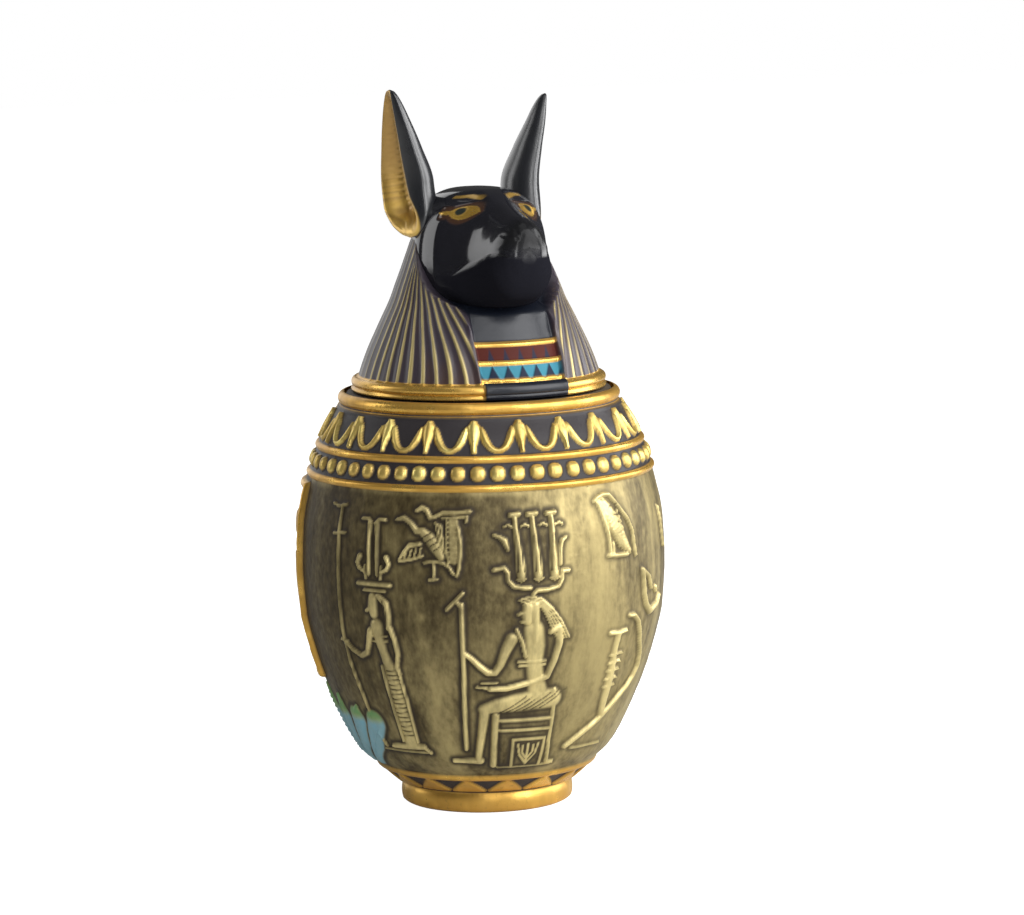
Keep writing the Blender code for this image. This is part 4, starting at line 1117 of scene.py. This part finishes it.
    def core(self) -> bpy.types.Object:
        """Return the closed plain casting behind the carved wall, with the inside and the underside."""
        outer = [(0.0, 0.0), (self.foot - 1.0, 0.0), (self.foot - 0.6, 7.0)]
        keys, values = np.array(self.wall_z), np.array(self.wall_r)
        for z in np.arange(9.0, 147.0, 6.0):
            outer.append((float(smooth_table(keys, values, np.array([z]))[0]) - self.skin, float(z)))
        outer += [(self.rim - 2.0, 150.0), (self.rim - 3.5, 152.2), (self.mouth + 0.2, 152.3),
                  (self.mouth, 151.0)]
        inner = [(self.mouth, 145.0)]
        for z in (130.0, 104.0, 76.0, 52.0, 30.0, 15.0):
            inner.append((float(smooth_table(keys, values, np.array([z - 2.0]))[0]) - self.wall, z))
        inner += [(18.0, self.floor), (0.0, self.floor)]
        profile = np.array(outer + inner)
        core = turned_body("jar_core", profile, 3.0)
        wash = Paint((0.09, 0.075, 0.055, 1.0), 0.55, 0.1)
        core.data.materials.append(bare_resin("raw_resin_finish", self.shelf, JAR_RESIN, wash))
        return core


# The lid


@dataclass
class WigAndCollar:
    """The lid's turned part: gold flange, striped wig, and the banded collar between the lappets."""

    shelf: EffectShelf
    stripe_count: int = 50
    gather_deg: float = 82.0
    face_z: tuple[float, ...] = (180.0, 185.0, 187.5, 191.0, 198.0, 207.0, 218.0)
    face_deg: tuple[float, ...] = (27.0, 34.0, 44.0, 56.0, 70.0, 84.0, 98.0)
    chest_half: float = 16.0
    chest_depth: float = 1.6
    wig_foot: float = 158.2
    tooth_pitch: float = 5.7
    gold_lines: tuple[Point, ...] = ((172.4, 0.85), (166.0, 0.85), (159.5, 1.0))
    wig_z: tuple[float, ...] = (
        158.2, 162.4, 168.2, 174.0, 179.8, 185.6, 191.4, 197.1, 203.0, 209.0, 214.0, 218.0)
    wig_r: tuple[float, ...] = (44.0, 42.6, 40.3, 37.6, 34.8, 32.0, 29.8, 27.6, 25.4, 23.0, 19.0, 12.0)

    def rows(self) -> tuple[Array, Array]:
        """Return radius and height of each row from under the flange to the crown."""
        flange_r = [39.7, 46.4, 46.7, 46.8]
        flange_z = [152.95, 152.95, 153.3, 154.0]
        for angle in np.linspace(-80.0, 85.0, 10):
            flange_r.append(45.0 + 1.7 * math.cos(math.radians(angle)))
            flange_z.append(156.2 + 1.8 * math.sin(math.radians(angle)))
        wig_z = np.concatenate([np.arange(158.25, 203.0, 0.55), np.arange(203.0, 218.1, 1.2)])
        wig_r = smooth_table(np.array(self.wig_z), np.array(self.wig_r), wig_z)
        return np.concatenate([flange_r, wig_r]), np.concatenate([flange_z, wig_z])

    def build(self) -> None:
        """Make and dress the turned part of the lid."""
        radius, height = self.rows()
        theta = np.concatenate([np.arange(-120.0, 80.0, 0.42), np.arange(80.0, 240.0, 0.8)])
        theta = np.sort((theta + 180.0) % 360.0 - 180.0)
        relief = Relief(theta, radius, height, ("stripe", "gilt", "chest", "red", "turquoise", "navy"))
        self.carve(relief)
        lid = grid_mesh("lid_wig", relief.points(), relief.masks)
        lid.data.materials.append(self.finish())
        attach(lid, BODY)
        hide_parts(LID_NODE)
        under = self.underside()
        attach(under, BODY)
        LOG.info("lid wig and collar: %d points", len(lid.data.vertices))

    def carve(self, relief: Relief) -> None:
        """Raise the stripes, sink the chest and raise the collar's gold lines."""
        z = relief.z[:, None] * np.ones_like(relief.theta[None, :])
        angle = np.radians(relief.theta[None, :]) * np.ones_like(z)
        side = relief.radius[:, None] * np.sin(angle)
        front = np.cos(angle) > 0.0
        on_wig = z > self.wig_foot
        beyond = np.abs(side) - self.chest_half
        chest = smoothstep(0.35, -0.35, beyond) * front * (relief.radius[:, None] > 20.0)
        away = np.abs(relief.theta[None, :])
        gather = 0.80 * np.clip((z - 158.0) / 46.0, 0.0, 1.0) ** 1.7
        drift = np.where(away < self.gather_deg, (away - self.gather_deg * gather) / (1.0 - gather), away)
        drift = drift + 0.9 * (value_noise(relief.theta[None, :] / 9.0 + 50.0, z / 14.0, 11) - 0.5)
        pitch = 360.0 / self.stripe_count
        spread = np.where(away < self.gather_deg, 1.0 - gather, 1.0)
        aside = np.abs((drift + pitch / 2.0) % pitch - pitch / 2.0)
        aside = aside * np.radians(1.0) * relief.radius[:, None]
        half = 0.62 + 0.25 * value_noise(drift / pitch + 30.0, z / 7.0, 17)
        half = half * (0.5 + 0.5 * smoothstep(205.0, 165.0, z))
        half = half * np.maximum(0.55, 1.1 - 0.1 / np.maximum(spread, 0.2))
        half = half * (1.0 - 0.45 * smoothstep(self.gather_deg, self.gather_deg + 14.0, away))
        stripe = smoothstep(1.25, 0.5, aside / half) * on_wig * (1.0 - chest)
        flute = np.cos(np.clip(aside / (0.5 * pitch * np.radians(1.0) * relief.radius[:, None]), 0.0,
                               1.0) * math.pi)
        edge = smooth_table(np.array(self.face_z), np.array(self.face_deg), relief.z)[:, None]
        face = smoothstep(2.8, -2.8, away - edge) * smoothstep(179.0, 184.0, z)
        fade = smoothstep(216.0, 206.0, z) * on_wig * (1.0 - face)
        calm = 1.0 - 0.75 * smoothstep(self.gather_deg - 10.0, self.gather_deg + 8.0, away)
        lift = 0.16 * flute * smoothstep(0.15, 0.7, spread) + 0.26 * stripe * smoothstep(0.1, 0.5, spread)
        relief.lift += fade * (1.0 - chest) * calm * lift
        relief.lift -= self.chest_depth * np.maximum(chest * on_wig, face)
        relief.lift -= 4.4 * face * smoothstep(182.5, 189.0, z)
        lappet = smoothstep(1.4, 0.0, np.abs(beyond - 0.9)) * front * on_wig * (z < 190.0)
        relief.lift += 0.35 * lappet
        masks = relief.masks
        faint = 1.0 - 0.55 * smoothstep(self.gather_deg + 2.0, self.gather_deg + 20.0, away)
        clear = smoothstep(0.8, 1.8, beyond + 9.0 * (front < 0.5))
        masks["stripe"][:] = stripe * smoothstep(214.0, 204.0, z) * faint * clear
        masks["stripe"] *= smoothstep(2.0, 8.0 - 5.0 * (z < 188.0), away - edge * (z > 180.0))
        masks["stripe"] *= 1.0 - 0.72 * smoothstep(28.0, 44.0, relief.theta[None, :])
        masks["chest"][:] = np.maximum(np.maximum(chest, face), smoothstep(213.0, 218.0, z))
        self.collar(relief, z, side, chest * on_wig)
        below = (z <= 158.25) & (z > 153.0)
        block = smoothstep(0.3, -0.3, beyond) * front * below
        relief.lift += 1.0 * block * smoothstep(153.0, 153.8, z)
        masks["chest"][:] = np.maximum(masks["chest"], block)
        masks["gilt"][:] = np.maximum(masks["gilt"], (z <= 158.6) * (1.0 - block) * (1.0 - chest))

    def collar(self, relief: Relief, z: Array, side: Array, chest: Array) -> None:
        """Raise the collar's gold lines and paint the bands between them."""
        masks = relief.masks
        for level, half in self.gold_lines:
            share = np.abs(z - level) / half
            relief.lift += 0.7 * np.cos(np.clip(share, 0.0, 1.0) * math.pi / 2.0) * chest
            masks["gilt"][:] = np.maximum(masks["gilt"], smoothstep(1.05, 0.7, share) * chest)
        red = smoothstep(166.4, 166.8, z) * smoothstep(172.0, 171.6, z) * chest
        band = smoothstep(159.4, 159.8, z) * smoothstep(165.6, 165.2, z) * chest
        masks["turquoise"][:] = band
        pitch = self.tooth_pitch
        aside = np.abs((side + pitch / 2.0) % pitch - pitch / 2.0)
        spike = smoothstep(0.25, -0.25, aside - 2.4 * np.clip((165.2 - z) / 5.4, 0.0, 1.0))
        tooth = smoothstep(0.25, -0.25, aside - 1.3 * np.clip((171.4 - z) / 5.0, 0.0, 1.0))
        masks["red"][:] = red
        masks["navy"][:] = np.maximum(band * spike, 0.85 * red * tooth)
        relief.lift += 0.25 * band * spike

    def finish(self) -> bpy.types.Material:
        """Return the lid's paint: indigo black wig with dull gold stripes and bright collar."""
        stack = PaintStack("striped_wig_finish", self.shelf, INDIGO_BLACK, bump=0.1)
        bench = stack.bench
        wear = bench.use(self.shelf.groups[Effect.BRUSH_WEAR], {"Bias": 0.06})
        patches = bench.ramp(bench.noise(60.0, 3.0, (1.0, 1.0, 0.4)), 0.45, 0.7)
        stack.coat(WARM_PATCH, bench.math("MULTIPLY", patches, 0.7))
        stripe = bench.math("MULTIPLY", bench.mask("stripe"),
                            bench.blend(wear.outputs["Cover"], 0.45, 0.95))
        stack.coat(STRIPE_GOLD, stripe)
        stack.coat(CHEST_BLACK, bench.mask("chest"))
        stack.coat(RED_BROWN, bench.mask("red"))
        stack.coat(TURQUOISE, bench.mask("turquoise"))
        stack.coat(NAVY, bench.mask("navy"))
        gilt = bench.mask("gilt")
        stack.coat(ORANGE_WASH, gilt)
        stack.coat(BRIGHT_GOLD,
                   bench.math("MULTIPLY", gilt, bench.blend(wear.outputs["Cover"], 0.5, 1.0)))
        gloss = bench.math("SUBTRACT", 1.0,
                           bench.math("MAXIMUM", bench.mask("red"), bench.mask("turquoise")), clamp=True)
        bench.join(bench.blend(gloss, 0.12, 0.4), stack.shader.inputs["Specular IOR Level"])
        return stack.finish(clear=bench.math("MULTIPLY", gloss, 0.15), clear_roughness=0.2)

    def underside(self) -> bpy.types.Object:
        """Return the lid's hidden side: locating spigot and the hollow under the wig."""
        profile = np.array([
            (44.6, 153.2), (44.6, 152.9), (39.7, 152.9), (39.7, 147.9), (38.7, 146.9), (35.7, 146.9),
                            (35.7, 157.0), (33.0, 164.0),
            (24.0, 182.0), (15.0, 193.0), (8.0, 198.0), (0.0, 199.0), (0.0, 201.5), (9.0, 200.5),
            (17.0, 195.0), (26.0, 183.0), (35.0, 165.0), (40.0, 157.0), (44.0, 155.0)])
        closed = np.concatenate([profile, profile[:1]], axis=0)[::-1]
        under = turned_body("lid_underside", closed, 4.0)
        wash = Paint((0.09, 0.075, 0.055, 1.0), 0.5, 0.1)
        under.data.materials.append(bare_resin("lid_resin_finish", self.shelf, LID_RESIN, wash))
        return under


@dataclass
class JackalHead:
    """The gloss black head with its gold eyes, brows, mouth and nose."""

    shelf: EffectShelf
    front: tuple[float, ...] = (-21.0, -19.0, -14.0, -4.0, 4.0, 13.0, 18.0, 24.0, 30.0, 36.0, 42.0, 45.4,
                                47.4, 48.3, 48.6)
    half: tuple[float, ...] = (
        0.4, 9.5, 18.0, 23.6, 24.6, 22.6, 19.6, 16.1, 13.6, 11.6, 9.9, 8.4, 6.0, 3.6, 0.3)
    top: tuple[float, ...] = (
        208.0, 217.0, 223.6, 226.4, 226.6, 226.2, 225.0, 222.6,
        220.6, 218.8, 217.2, 215.6, 213.6, 211.4, 207.15)
    bottom: tuple[float, ...] = (
        206.0, 197.0, 187.0, 183.2, 182.6, 183.0, 183.8, 185.2,
        186.6, 188.2, 190.4, 193.0, 196.8, 200.8, 206.85)
    middle: tuple[float, ...] = (
        207.0, 206.0, 202.0, 198.5, 197.5, 197.0, 197.5, 199.0,
        201.5, 203.8, 205.0, 205.2, 205.6, 206.2, 207.0)
    eye: Point = (19.4, 218.7)
    eye_half: Point = (4.3, 2.5)
    eye_slope: float = 0.08
    pupil: Point = (-1.3, 0.5)
    brow: Point = (17.4, 223.2)
    brow_half: Point = (8.0, 3.0)
    brow_line: tuple[Point, ...] = ((11.4, 223.9), (15.4, 224.7), (19.4, 224.2))
    mouth_line: tuple[Point, ...] = (
        (20.0, 196.5), (24.0, 198.4), (30.0, 200.8), (36.0, 203.5), (40.0, 204.7), (44.0, 204.5),
                                     (49.5, 203.9))

    def surface(self) -> tuple[Array, Array, Array]:
        """Return the head's smooth loft and the two coordinates the details are placed by.

        Returns:
            Points in mm, distance in front of the axis, and height.
        """
        keys = np.array(self.front)
        along = np.concatenate([np.linspace(-21.0, 6.0, 60, endpoint=False),
                                np.linspace(6.0, 40.0, 110, endpoint=False),
                                np.linspace(40.0, 48.6, 60)])
        half = smooth_table(keys, np.array(self.half), along)[:, None]
        top = smooth_table(keys, np.array(self.top), along)[:, None]
        bottom = smooth_table(keys, np.array(self.bottom), along)[:, None]
        middle = smooth_table(keys, np.array(self.middle), along)[:, None]
        turn = np.radians(np.linspace(0.0, 360.0, 260, endpoint=False))[None, :]
        cosine, sine = np.cos(turn), np.sin(turn)
        upper = sine > 0.0
        snout = smoothstep(12.0, 30.0, along)[:, None]
        square = 0.74 + 0.18 * snout
        x = half * np.sign(cosine) * np.abs(cosine) ** np.where(upper, square, 0.50 + 0.20 * snout)
        x = x * (1.0 - 0.30 * snout * np.clip(sine, 0.0, 1.0) ** 1.5)
        reach = np.where(upper, top - middle, middle - bottom)
        z = middle + reach * np.sign(sine) * np.abs(sine) ** np.where(upper, square, 0.56 + 0.20 * snout)
        y = np.broadcast_to(-along[:, None], x.shape)
        return np.stack([x, y, z], axis=-1), np.broadcast_to(along[:, None], x.shape), z

    def track(self, points: Array, path: tuple[Point, ...], half: float) -> Array:
        """Return the distance to a path drawn on both sides of the head, as a share of its half width.

        Args:
            points: Surface points in mm.
            path: (distance in front, height) points in mm.
            half: Half width in mm.

        Returns:
            Distance share, large away from the path.
        """
        a, z = -points[..., 1], points[..., 2]
        best = np.full(a.shape, FAR_MM)
        for (a0, z0), (a1, z1) in zip(path, path[1:]):
            run_a, run_z = a1 - a0, z1 - z0
            t = np.clip(((a - a0) * run_a + (z - z0) * run_z) / (run_a ** 2 + run_z ** 2), 0.0, 1.0)
            best = np.minimum(best, np.hypot(a - a0 - t * run_a, z - z0 - t * run_z))
        return best / half

    def build(self) -> None:
        """Make and dress the head."""
        points, a, z = self.surface()
        normal = -grid_normals(points)
        x = points[..., 0]
        lift = np.zeros_like(a)
        sided = smoothstep(3.0, 6.0, np.abs(x))
        # Eyes: pointed almond with a tail, a raised rim and a dark pupil
        ea = a - self.eye[0]
        ez = z - self.eye[1] - self.eye_slope * ea
        width = self.eye_half[1] * np.clip(1.0 - (ea / self.eye_half[0]) ** 2, -4.0, 1.0)
        tail = 0.5 * smoothstep(-8.4, -6.4, ea) * smoothstep(-2.6, -4.4, ea)
        edge = np.abs(ez) - np.maximum(width, tail - 4.0 * (tail <= 0.0))
        eye = smoothstep(0.25, -0.2, edge) * sided
        rim = smoothstep(1.5, 0.2, np.abs(edge - 0.9)) * sided * (np.abs(ea) < 7.6)
        lift += 0.6 * eye * np.clip(1.0 - (ea / 5.2) ** 2, 0.0, 1.0) + 0.35 * rim
        pupil = smoothstep(1.9, 1.2, np.hypot(ea - self.pupil[0], ez - self.pupil[1])) * sided
        # Brow swelling above the eye, gold brow, mouth line and nose
        brow = np.hypot((a - self.brow[0]) / self.brow_half[0], (z - self.brow[1]) / self.brow_half[1])
        lift += 1.5 * smoothstep(1.2, 0.0, brow) * sided
        brow_gold = 0.55 * smoothstep(1.0, 0.4, self.track(points, self.brow_line, 0.55)) * sided
        mouth = self.track(points, self.mouth_line[1:], 0.5)
        corner = smoothstep(23.0, 29.0, a) * smoothstep(48.0, 45.0, a)
        lift -= 0.10 * smoothstep(1.8, 0.0, mouth) * corner
        line = np.array(self.mouth_line)
        level = smooth_table(line[:, 0], line[:, 1], a[:, 0])[:, None]
        below = level - z
        jaw = smoothstep(14.0, 24.0, a) * smoothstep(48.0, 41.0, a)
        lift -= (0.25 * smoothstep(-0.2, 1.0, below) + 0.26 * np.clip(below, 0.0, 7.0)) * jaw
        nose = smoothstep(39.0, 46.0, a) * smoothstep(203.0, 209.0, z)
        lift += 0.32 * nose * (value_noise(x / 1.3 + 40.0, z / 1.2, 41) - 0.5) * smoothstep(48.5, 47.0, a)
        points = points + normal * lift[..., None]
        masks = {"gold": np.maximum(eye, 0.7 * brow_gold), "pupil": pupil, "rim": rim * (1.0 - eye),
                 "nose": nose,
                 "groove": smoothstep(1.4, 0.2, mouth) * corner,
                 "jaw": smoothstep(-0.2, 1.2, below) * smoothstep(8.0, 22.0, a)}
        head = grid_mesh("jackal_head", points[:, ::-1] * MM, {k: v[:, ::-1] for k, v in masks.items()})
        head.data.materials.append(self.finish())
        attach(head, BODY)
        LOG.info("head: %d points", len(head.data.vertices))

    def finish(self) -> bpy.types.Material:
        """Return gloss black with gold eyes and brows."""
        stack = PaintStack("gloss_black_finish", self.shelf, GLOSS_BLACK, bump=0.03)
        bench = stack.bench
        wear = bench.use(self.shelf.groups[Effect.BRUSH_WEAR], {"Bias": 0.1})
        gold = bench.math("MULTIPLY", bench.mask("gold"), bench.blend(wear.outputs["Cover"], 0.7, 1.0))
        stack.coat(EYE_BROWN, bench.math("MULTIPLY", bench.mask("rim"), 0.6))
        stack.coat(EYE_GOLD, gold)
        stack.coat(PUPIL, bench.mask("pupil"))
        stack.coat(GROOVE_BLACK, bench.mask("groove"))
        nose = bench.mask("nose")
        stack.coat(NOSE_BLACK, nose)
        dull = bench.math("MAXIMUM", bench.math("MULTIPLY", nose, 0.75), bench.mask("jaw"))
        bench.join(bench.blend(dull, 0.45, 0.0), stack.shader.inputs["Specular IOR Level"])
        gloss = bench.math("SUBTRACT", 1.0, dull, clamp=True)
        return stack.finish(clear=bench.math("MULTIPLY", gloss, 0.4), clear_roughness=0.05)


@dataclass
class Ear:
    """One tall pointed ear, gloss black outside and ribbed gold in its hollow."""

    shelf: EffectShelf
    side: float
    material: bpy.types.Material
    stretch: float = 1.0
    opening_z: tuple[float, ...] = (208.6, 212.0, 218.0, 224.0, 234.0, 260.0)
    opening: tuple[float, ...] = (1.96, 1.90, 1.72, 1.52, 1.40, 1.40)
    facing_deg: float = 75.0
    pivot: float = 207.0
    rib_rate: float = 2.8
    fan_rate: float = 10.0
    fan_turn: float = -620.0
    height: tuple[float, ...] = (208.6, 209.6, 213.0, 219.0, 228.0, 240.0, 250.0, 256.5, 259.4, 260.0)
    half: tuple[float, ...] = (0.6, 4.8, 9.8, 12.8, 12.7, 9.8, 6.5, 3.8, 1.9, 0.3)
    depth: tuple[float, ...] = (0.4, 4.2, 8.0, 10.4, 10.0, 7.6, 5.1, 3.1, 1.5, 0.3)
    middle_x: tuple[float, ...] = (24.6, 24.7, 24.8, 24.6, 24.8, 26.8, 28.9, 30.1, 30.7, 30.8)
    middle_y: tuple[float, ...] = (2.4, 2.5, 3.8, 6.2, 7.8, 6.8, 5.4, 4.8, 4.4, 4.3)

    def build(self) -> None:
        """Make and dress the ear."""
        keys = np.array(self.height)
        z = np.concatenate([np.linspace(208.6, 212.0, 26, endpoint=False),
                            np.linspace(212.0, 256.0, 130, endpoint=False),
                            np.linspace(256.0, 260.0, 24)])[:, None]
        tables = (self.half, self.depth, self.middle_x, self.middle_y)
        columns = (smooth_table(keys, np.array(table), z[:, 0])[:, None] for table in tables)
        half, depth, mid_x, mid_y = columns
        share = (z - z[0]) / (z[-1] - z[0])
        turn = np.radians(np.linspace(0.0, 360.0, 240, endpoint=False))[None, :]
        front, out = np.cos(turn), np.sin(turn)
        u = half * front
        v = depth * np.where(out > 0.0, 0.36 * out, out)
        reach = smooth_table(np.array(self.opening_z), np.array(self.opening), z[:, 0])[:, None]
        across_face = np.clip((u / half + 0.98) / reach, 0.0, 1.0)
        inside = (out > 0.0) * smoothstep(0.0, 0.42, across_face) * smoothstep(1.0, 0.66, across_face)
        ends = smoothstep(-0.02, 0.20, share) * smoothstep(1.0, 0.90, share)
        level_ribs = z * self.rib_rate - 9.0 * across_face + self.fan_turn
        fan = self.fan_rate * np.arctan2(0.42 - across_face, np.maximum(z - 209.5, 0.5) / 13.0)
        rise = smoothstep(211.0, 223.0, z)
        rib_phase = fan + (level_ribs - fan) * rise
        wander = value_noise(z / 3.0 * np.ones_like(u), 3.0 * across_face, 31) - 0.5
        rib_phase = rib_phase + 2.4 * wander
        ribs = 0.13 * np.sin(rib_phase) + 0.06 * np.sin(2.7 * rib_phase + 1.0)
        ribs = ribs * smoothstep(209.5, 214.0, z)
        bowl = -(0.36 * out + 0.40) * depth * inside * ends
        ribs = ribs * inside * ends * np.clip(half / 8.0, 0.0, 1.0)
        v = v + bowl + ribs * smoothstep(0.88, 0.55, across_face)
        facing_turn = math.radians(self.facing_deg)
        facing = np.array([self.side * math.sin(facing_turn), -math.cos(facing_turn), 0.0])
        across = self.side * np.array([facing[1], -facing[0], 0.0])
        middle = np.stack([self.side * mid_x, mid_y, z], axis=-1)
        points = middle + u[..., None] * across + v[..., None] * facing
        points[..., 2] = self.pivot + (points[..., 2] - self.pivot) * self.stretch
        gold = smoothstep(-0.16, -0.08,
                          out) * smoothstep(1.02, 0.95, (u / half + 0.98) / reach) * np.ones_like(z)
        edge_fade = smoothstep(0.97, 0.80, across_face)
        dip = 0.8 * (0.5 - 0.5 * np.sin(rib_phase)) * smoothstep(209.5, 216.0, z) * edge_fade
        dip = np.maximum(dip, 0.85 * smoothstep(214.0, 236.0, z) * smoothstep(0.97, 0.80, across_face))
        name = "ear_left" if self.side < 0 else "ear_right"
        order = slice(None, None, -1 if self.side < 0 else 1)
        ear = grid_mesh(name, points[:, order] * MM, {"gold": gold[:, order], "rib": dip[:, order]})
        ear.data.materials.append(self.material)
        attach(ear, BODY)
        LOG.info("%s: %d points", name, len(ear.data.vertices))


def ear_finish(shelf: EffectShelf) -> bpy.types.Material:
    """Return gloss black with a rich gold hollow, darker orange between its ribs and towards its top."""
    stack = PaintStack("ear_finish", shelf, EAR_BLACK, bump=0.05)
    bench = stack.bench
    wear = bench.use(shelf.groups[Effect.BRUSH_WEAR], {"Bias": 0.04})
    gold = bench.mask("gold")
    stack.coat(EAR_WASH, gold)
    rib = bench.math("SUBTRACT", 1.0, bench.math("MULTIPLY", bench.mask("rib"), 0.8))
    worn = bench.math("MULTIPLY", bench.blend(wear.outputs["Cover"], 0.55, 1.0), rib)
    stack.coat(EAR_GOLD, bench.math("MULTIPLY", gold, worn))
    return stack.finish(clear=0.8, clear_roughness=0.27)


# Studio


@dataclass(frozen=True)
class SoftBox:
    """A soft light, placed by its angles from the camera's side and the jar's middle."""

    name: str
    azimuth: float
    elevation: float
    reach: float
    size: Point
    power: float


SOFT_BOXES = (
    SoftBox("key_box", 56.0, 24.0, 1.4, (1.25, 1.3), 25.0),
    SoftBox("right_rim_box", 106.0, 10.0, 1.2, (0.75, 1.0), 11.0),
    SoftBox("left_window", -102.0, 18.0, 1.2, (0.42, 0.84), 2.4),
    SoftBox("left_sheen_box", -148.0, 14.0, 1.3, (1.0, 1.0), 2.9),
    SoftBox("front_strip", 6.0, 14.0, 1.3, (0.22, 0.8), 3.2),
    SoftBox("front_top_box", 8.0, 44.0, 1.3, (0.6, 0.36), 2.4),
    SoftBox("top_box", 20.0, 78.0, 1.3, (0.8, 0.8), 2.0),
)


@dataclass
class Studio:
    """Pale floor, soft lights and the camera of the photograph."""

    yaw_deg: float = CAMERA_TURN
    distance: float = 1.5
    height: float = 0.321
    aim_height: float = 0.1264
    aside_px: float = 32.0
    roll_deg: float = 1.15
    focal_px: float = 4113.0
    image_width: int = 1024
    ambient: float = 0.06
    floor_half: float = 6.0
    floor_drop: float = 0.0002
    floor_glow: float = 0.97
    light_target: float = 0.13
    sensor_width: float = 36.0

    def build(self) -> None:
        """Make the floor, world, lights and camera."""
        self.floor()
        self.world()
        self.lights()
        self.camera()

    def floor(self) -> None:
        """Lay a wide pale floor."""
        mesh = bpy.data.meshes.new("studio_floor")
        corners = ((-1.0, -1.0), (1.0, -1.0), (1.0, 1.0), (-1.0, 1.0))
        points = [(x * self.floor_half, y * self.floor_half, -self.floor_drop) for x, y in corners]
        mesh.from_pydata(points, [], [(0, 1, 2, 3)])
        floor = bpy.data.objects.new("studio_floor", mesh)
        bpy.context.scene.collection.objects.link(floor)
        mat = bpy.data.materials.new("pale_floor_finish")
        mat.use_nodes = True
        bench = NodeBench(mat.node_tree)
        shader = mat.node_tree.nodes["Principled BSDF"]
        shader.inputs["Base Color"].default_value = (0.68, 0.68, 0.67, 1.0)
        shader.inputs["Roughness"].default_value = 0.95
        shader.inputs["Specular IOR Level"].default_value = 0.0
        shader.inputs["Emission Color"].default_value = (1.0, 1.0, 1.0, 1.0)
        seen = bench.add("ShaderNodeLightPath").outputs["Is Camera Ray"]
        bench.join(bench.math("MULTIPLY", seen, self.floor_glow), shader.inputs["Emission Strength"])
        mesh.materials.append(mat)

    def world(self) -> None:
        """Give the room its even white light."""
        world = bpy.data.worlds.new("studio_world")
        world.use_nodes = True
        background = world.node_tree.nodes["Background"]
        background.inputs["Color"].default_value = (1.0, 1.0, 1.0, 1.0)
        bench = NodeBench(world.node_tree)
        seen = bench.add("ShaderNodeLightPath").outputs["Is Camera Ray"]
        shown = bench.math("MULTIPLY", seen, 1.0 - self.ambient)
        bench.join(bench.math("ADD", shown, self.ambient), background.inputs["Strength"])
        bpy.context.scene.world = world

    def soft_light(self, box: SoftBox) -> None:
        """Place a soft box that looks at the jar.

        Args:
            box: Its angles in degrees, reach and size in metres, and power in watts.
        """
        data = bpy.data.lights.new(box.name, "AREA")
        data.shape = "RECTANGLE"
        data.size, data.size_y = box.size
        data.energy = box.power
        light = bpy.data.objects.new(box.name, data)
        turn = math.radians(box.azimuth - self.yaw_deg)
        rise = math.radians(box.elevation)
        target = Vector((0.0, 0.0, self.light_target))
        level = math.cos(rise)
        place = target + Vector((math.sin(turn) * level, -math.cos(turn) * level,
                                 math.sin(rise))) * box.reach
        light.location = place
        light.rotation_euler = (target - place).to_track_quat("-Z", "Y").to_euler()
        bpy.context.scene.collection.objects.link(light)

    def lights(self) -> None:
        """Set the soft boxes."""
        for box in SOFT_BOXES:
            self.soft_light(box)

    def camera(self) -> None:
        """Aim the camera as the photograph was taken."""
        data = bpy.data.cameras.new("photo_camera")
        data.sensor_width = self.sensor_width
        data.lens = self.focal_px * self.sensor_width / self.image_width
        data.clip_start = 0.05
        camera = bpy.data.objects.new("photo_camera", data)
        yaw = math.radians(-self.yaw_deg)
        place = Vector((math.sin(yaw) * self.distance, -math.cos(yaw) * self.distance, self.height))
        aim = Vector((0.0, 0.0, self.aim_height)) - place
        aim.rotate(Matrix.Rotation(-math.atan(self.aside_px / self.focal_px), 3, "Z"))
        aim_quat = aim.to_track_quat("-Z", "Y")
        roll = Matrix.Rotation(math.radians(-self.roll_deg), 4, "Z")
        camera.matrix_world = Matrix.Translation(place) @ aim_quat.to_matrix().to_4x4() @ roll
        bpy.context.scene.collection.objects.link(camera)
        bpy.context.scene.camera = camera


def main() -> None:
    """Build the jar, the lid and the studio."""
    logging.basicConfig(level=logging.INFO, format="%(message)s")
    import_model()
    shelf = EffectShelf()
    JarBody(shelf).build()
    WigAndCollar(shelf).build()
    JackalHead(shelf).build()
    gold_ear = ear_finish(shelf)
    Ear(shelf, -1.0, gold_ear, stretch=1.045).build()
    Ear(shelf, 1.0, gold_ear, stretch=0.982).build()
    Studio().build()
    bpy.context.scene.view_settings.view_transform = "Standard"


if __name__ == "__main__":
    main()
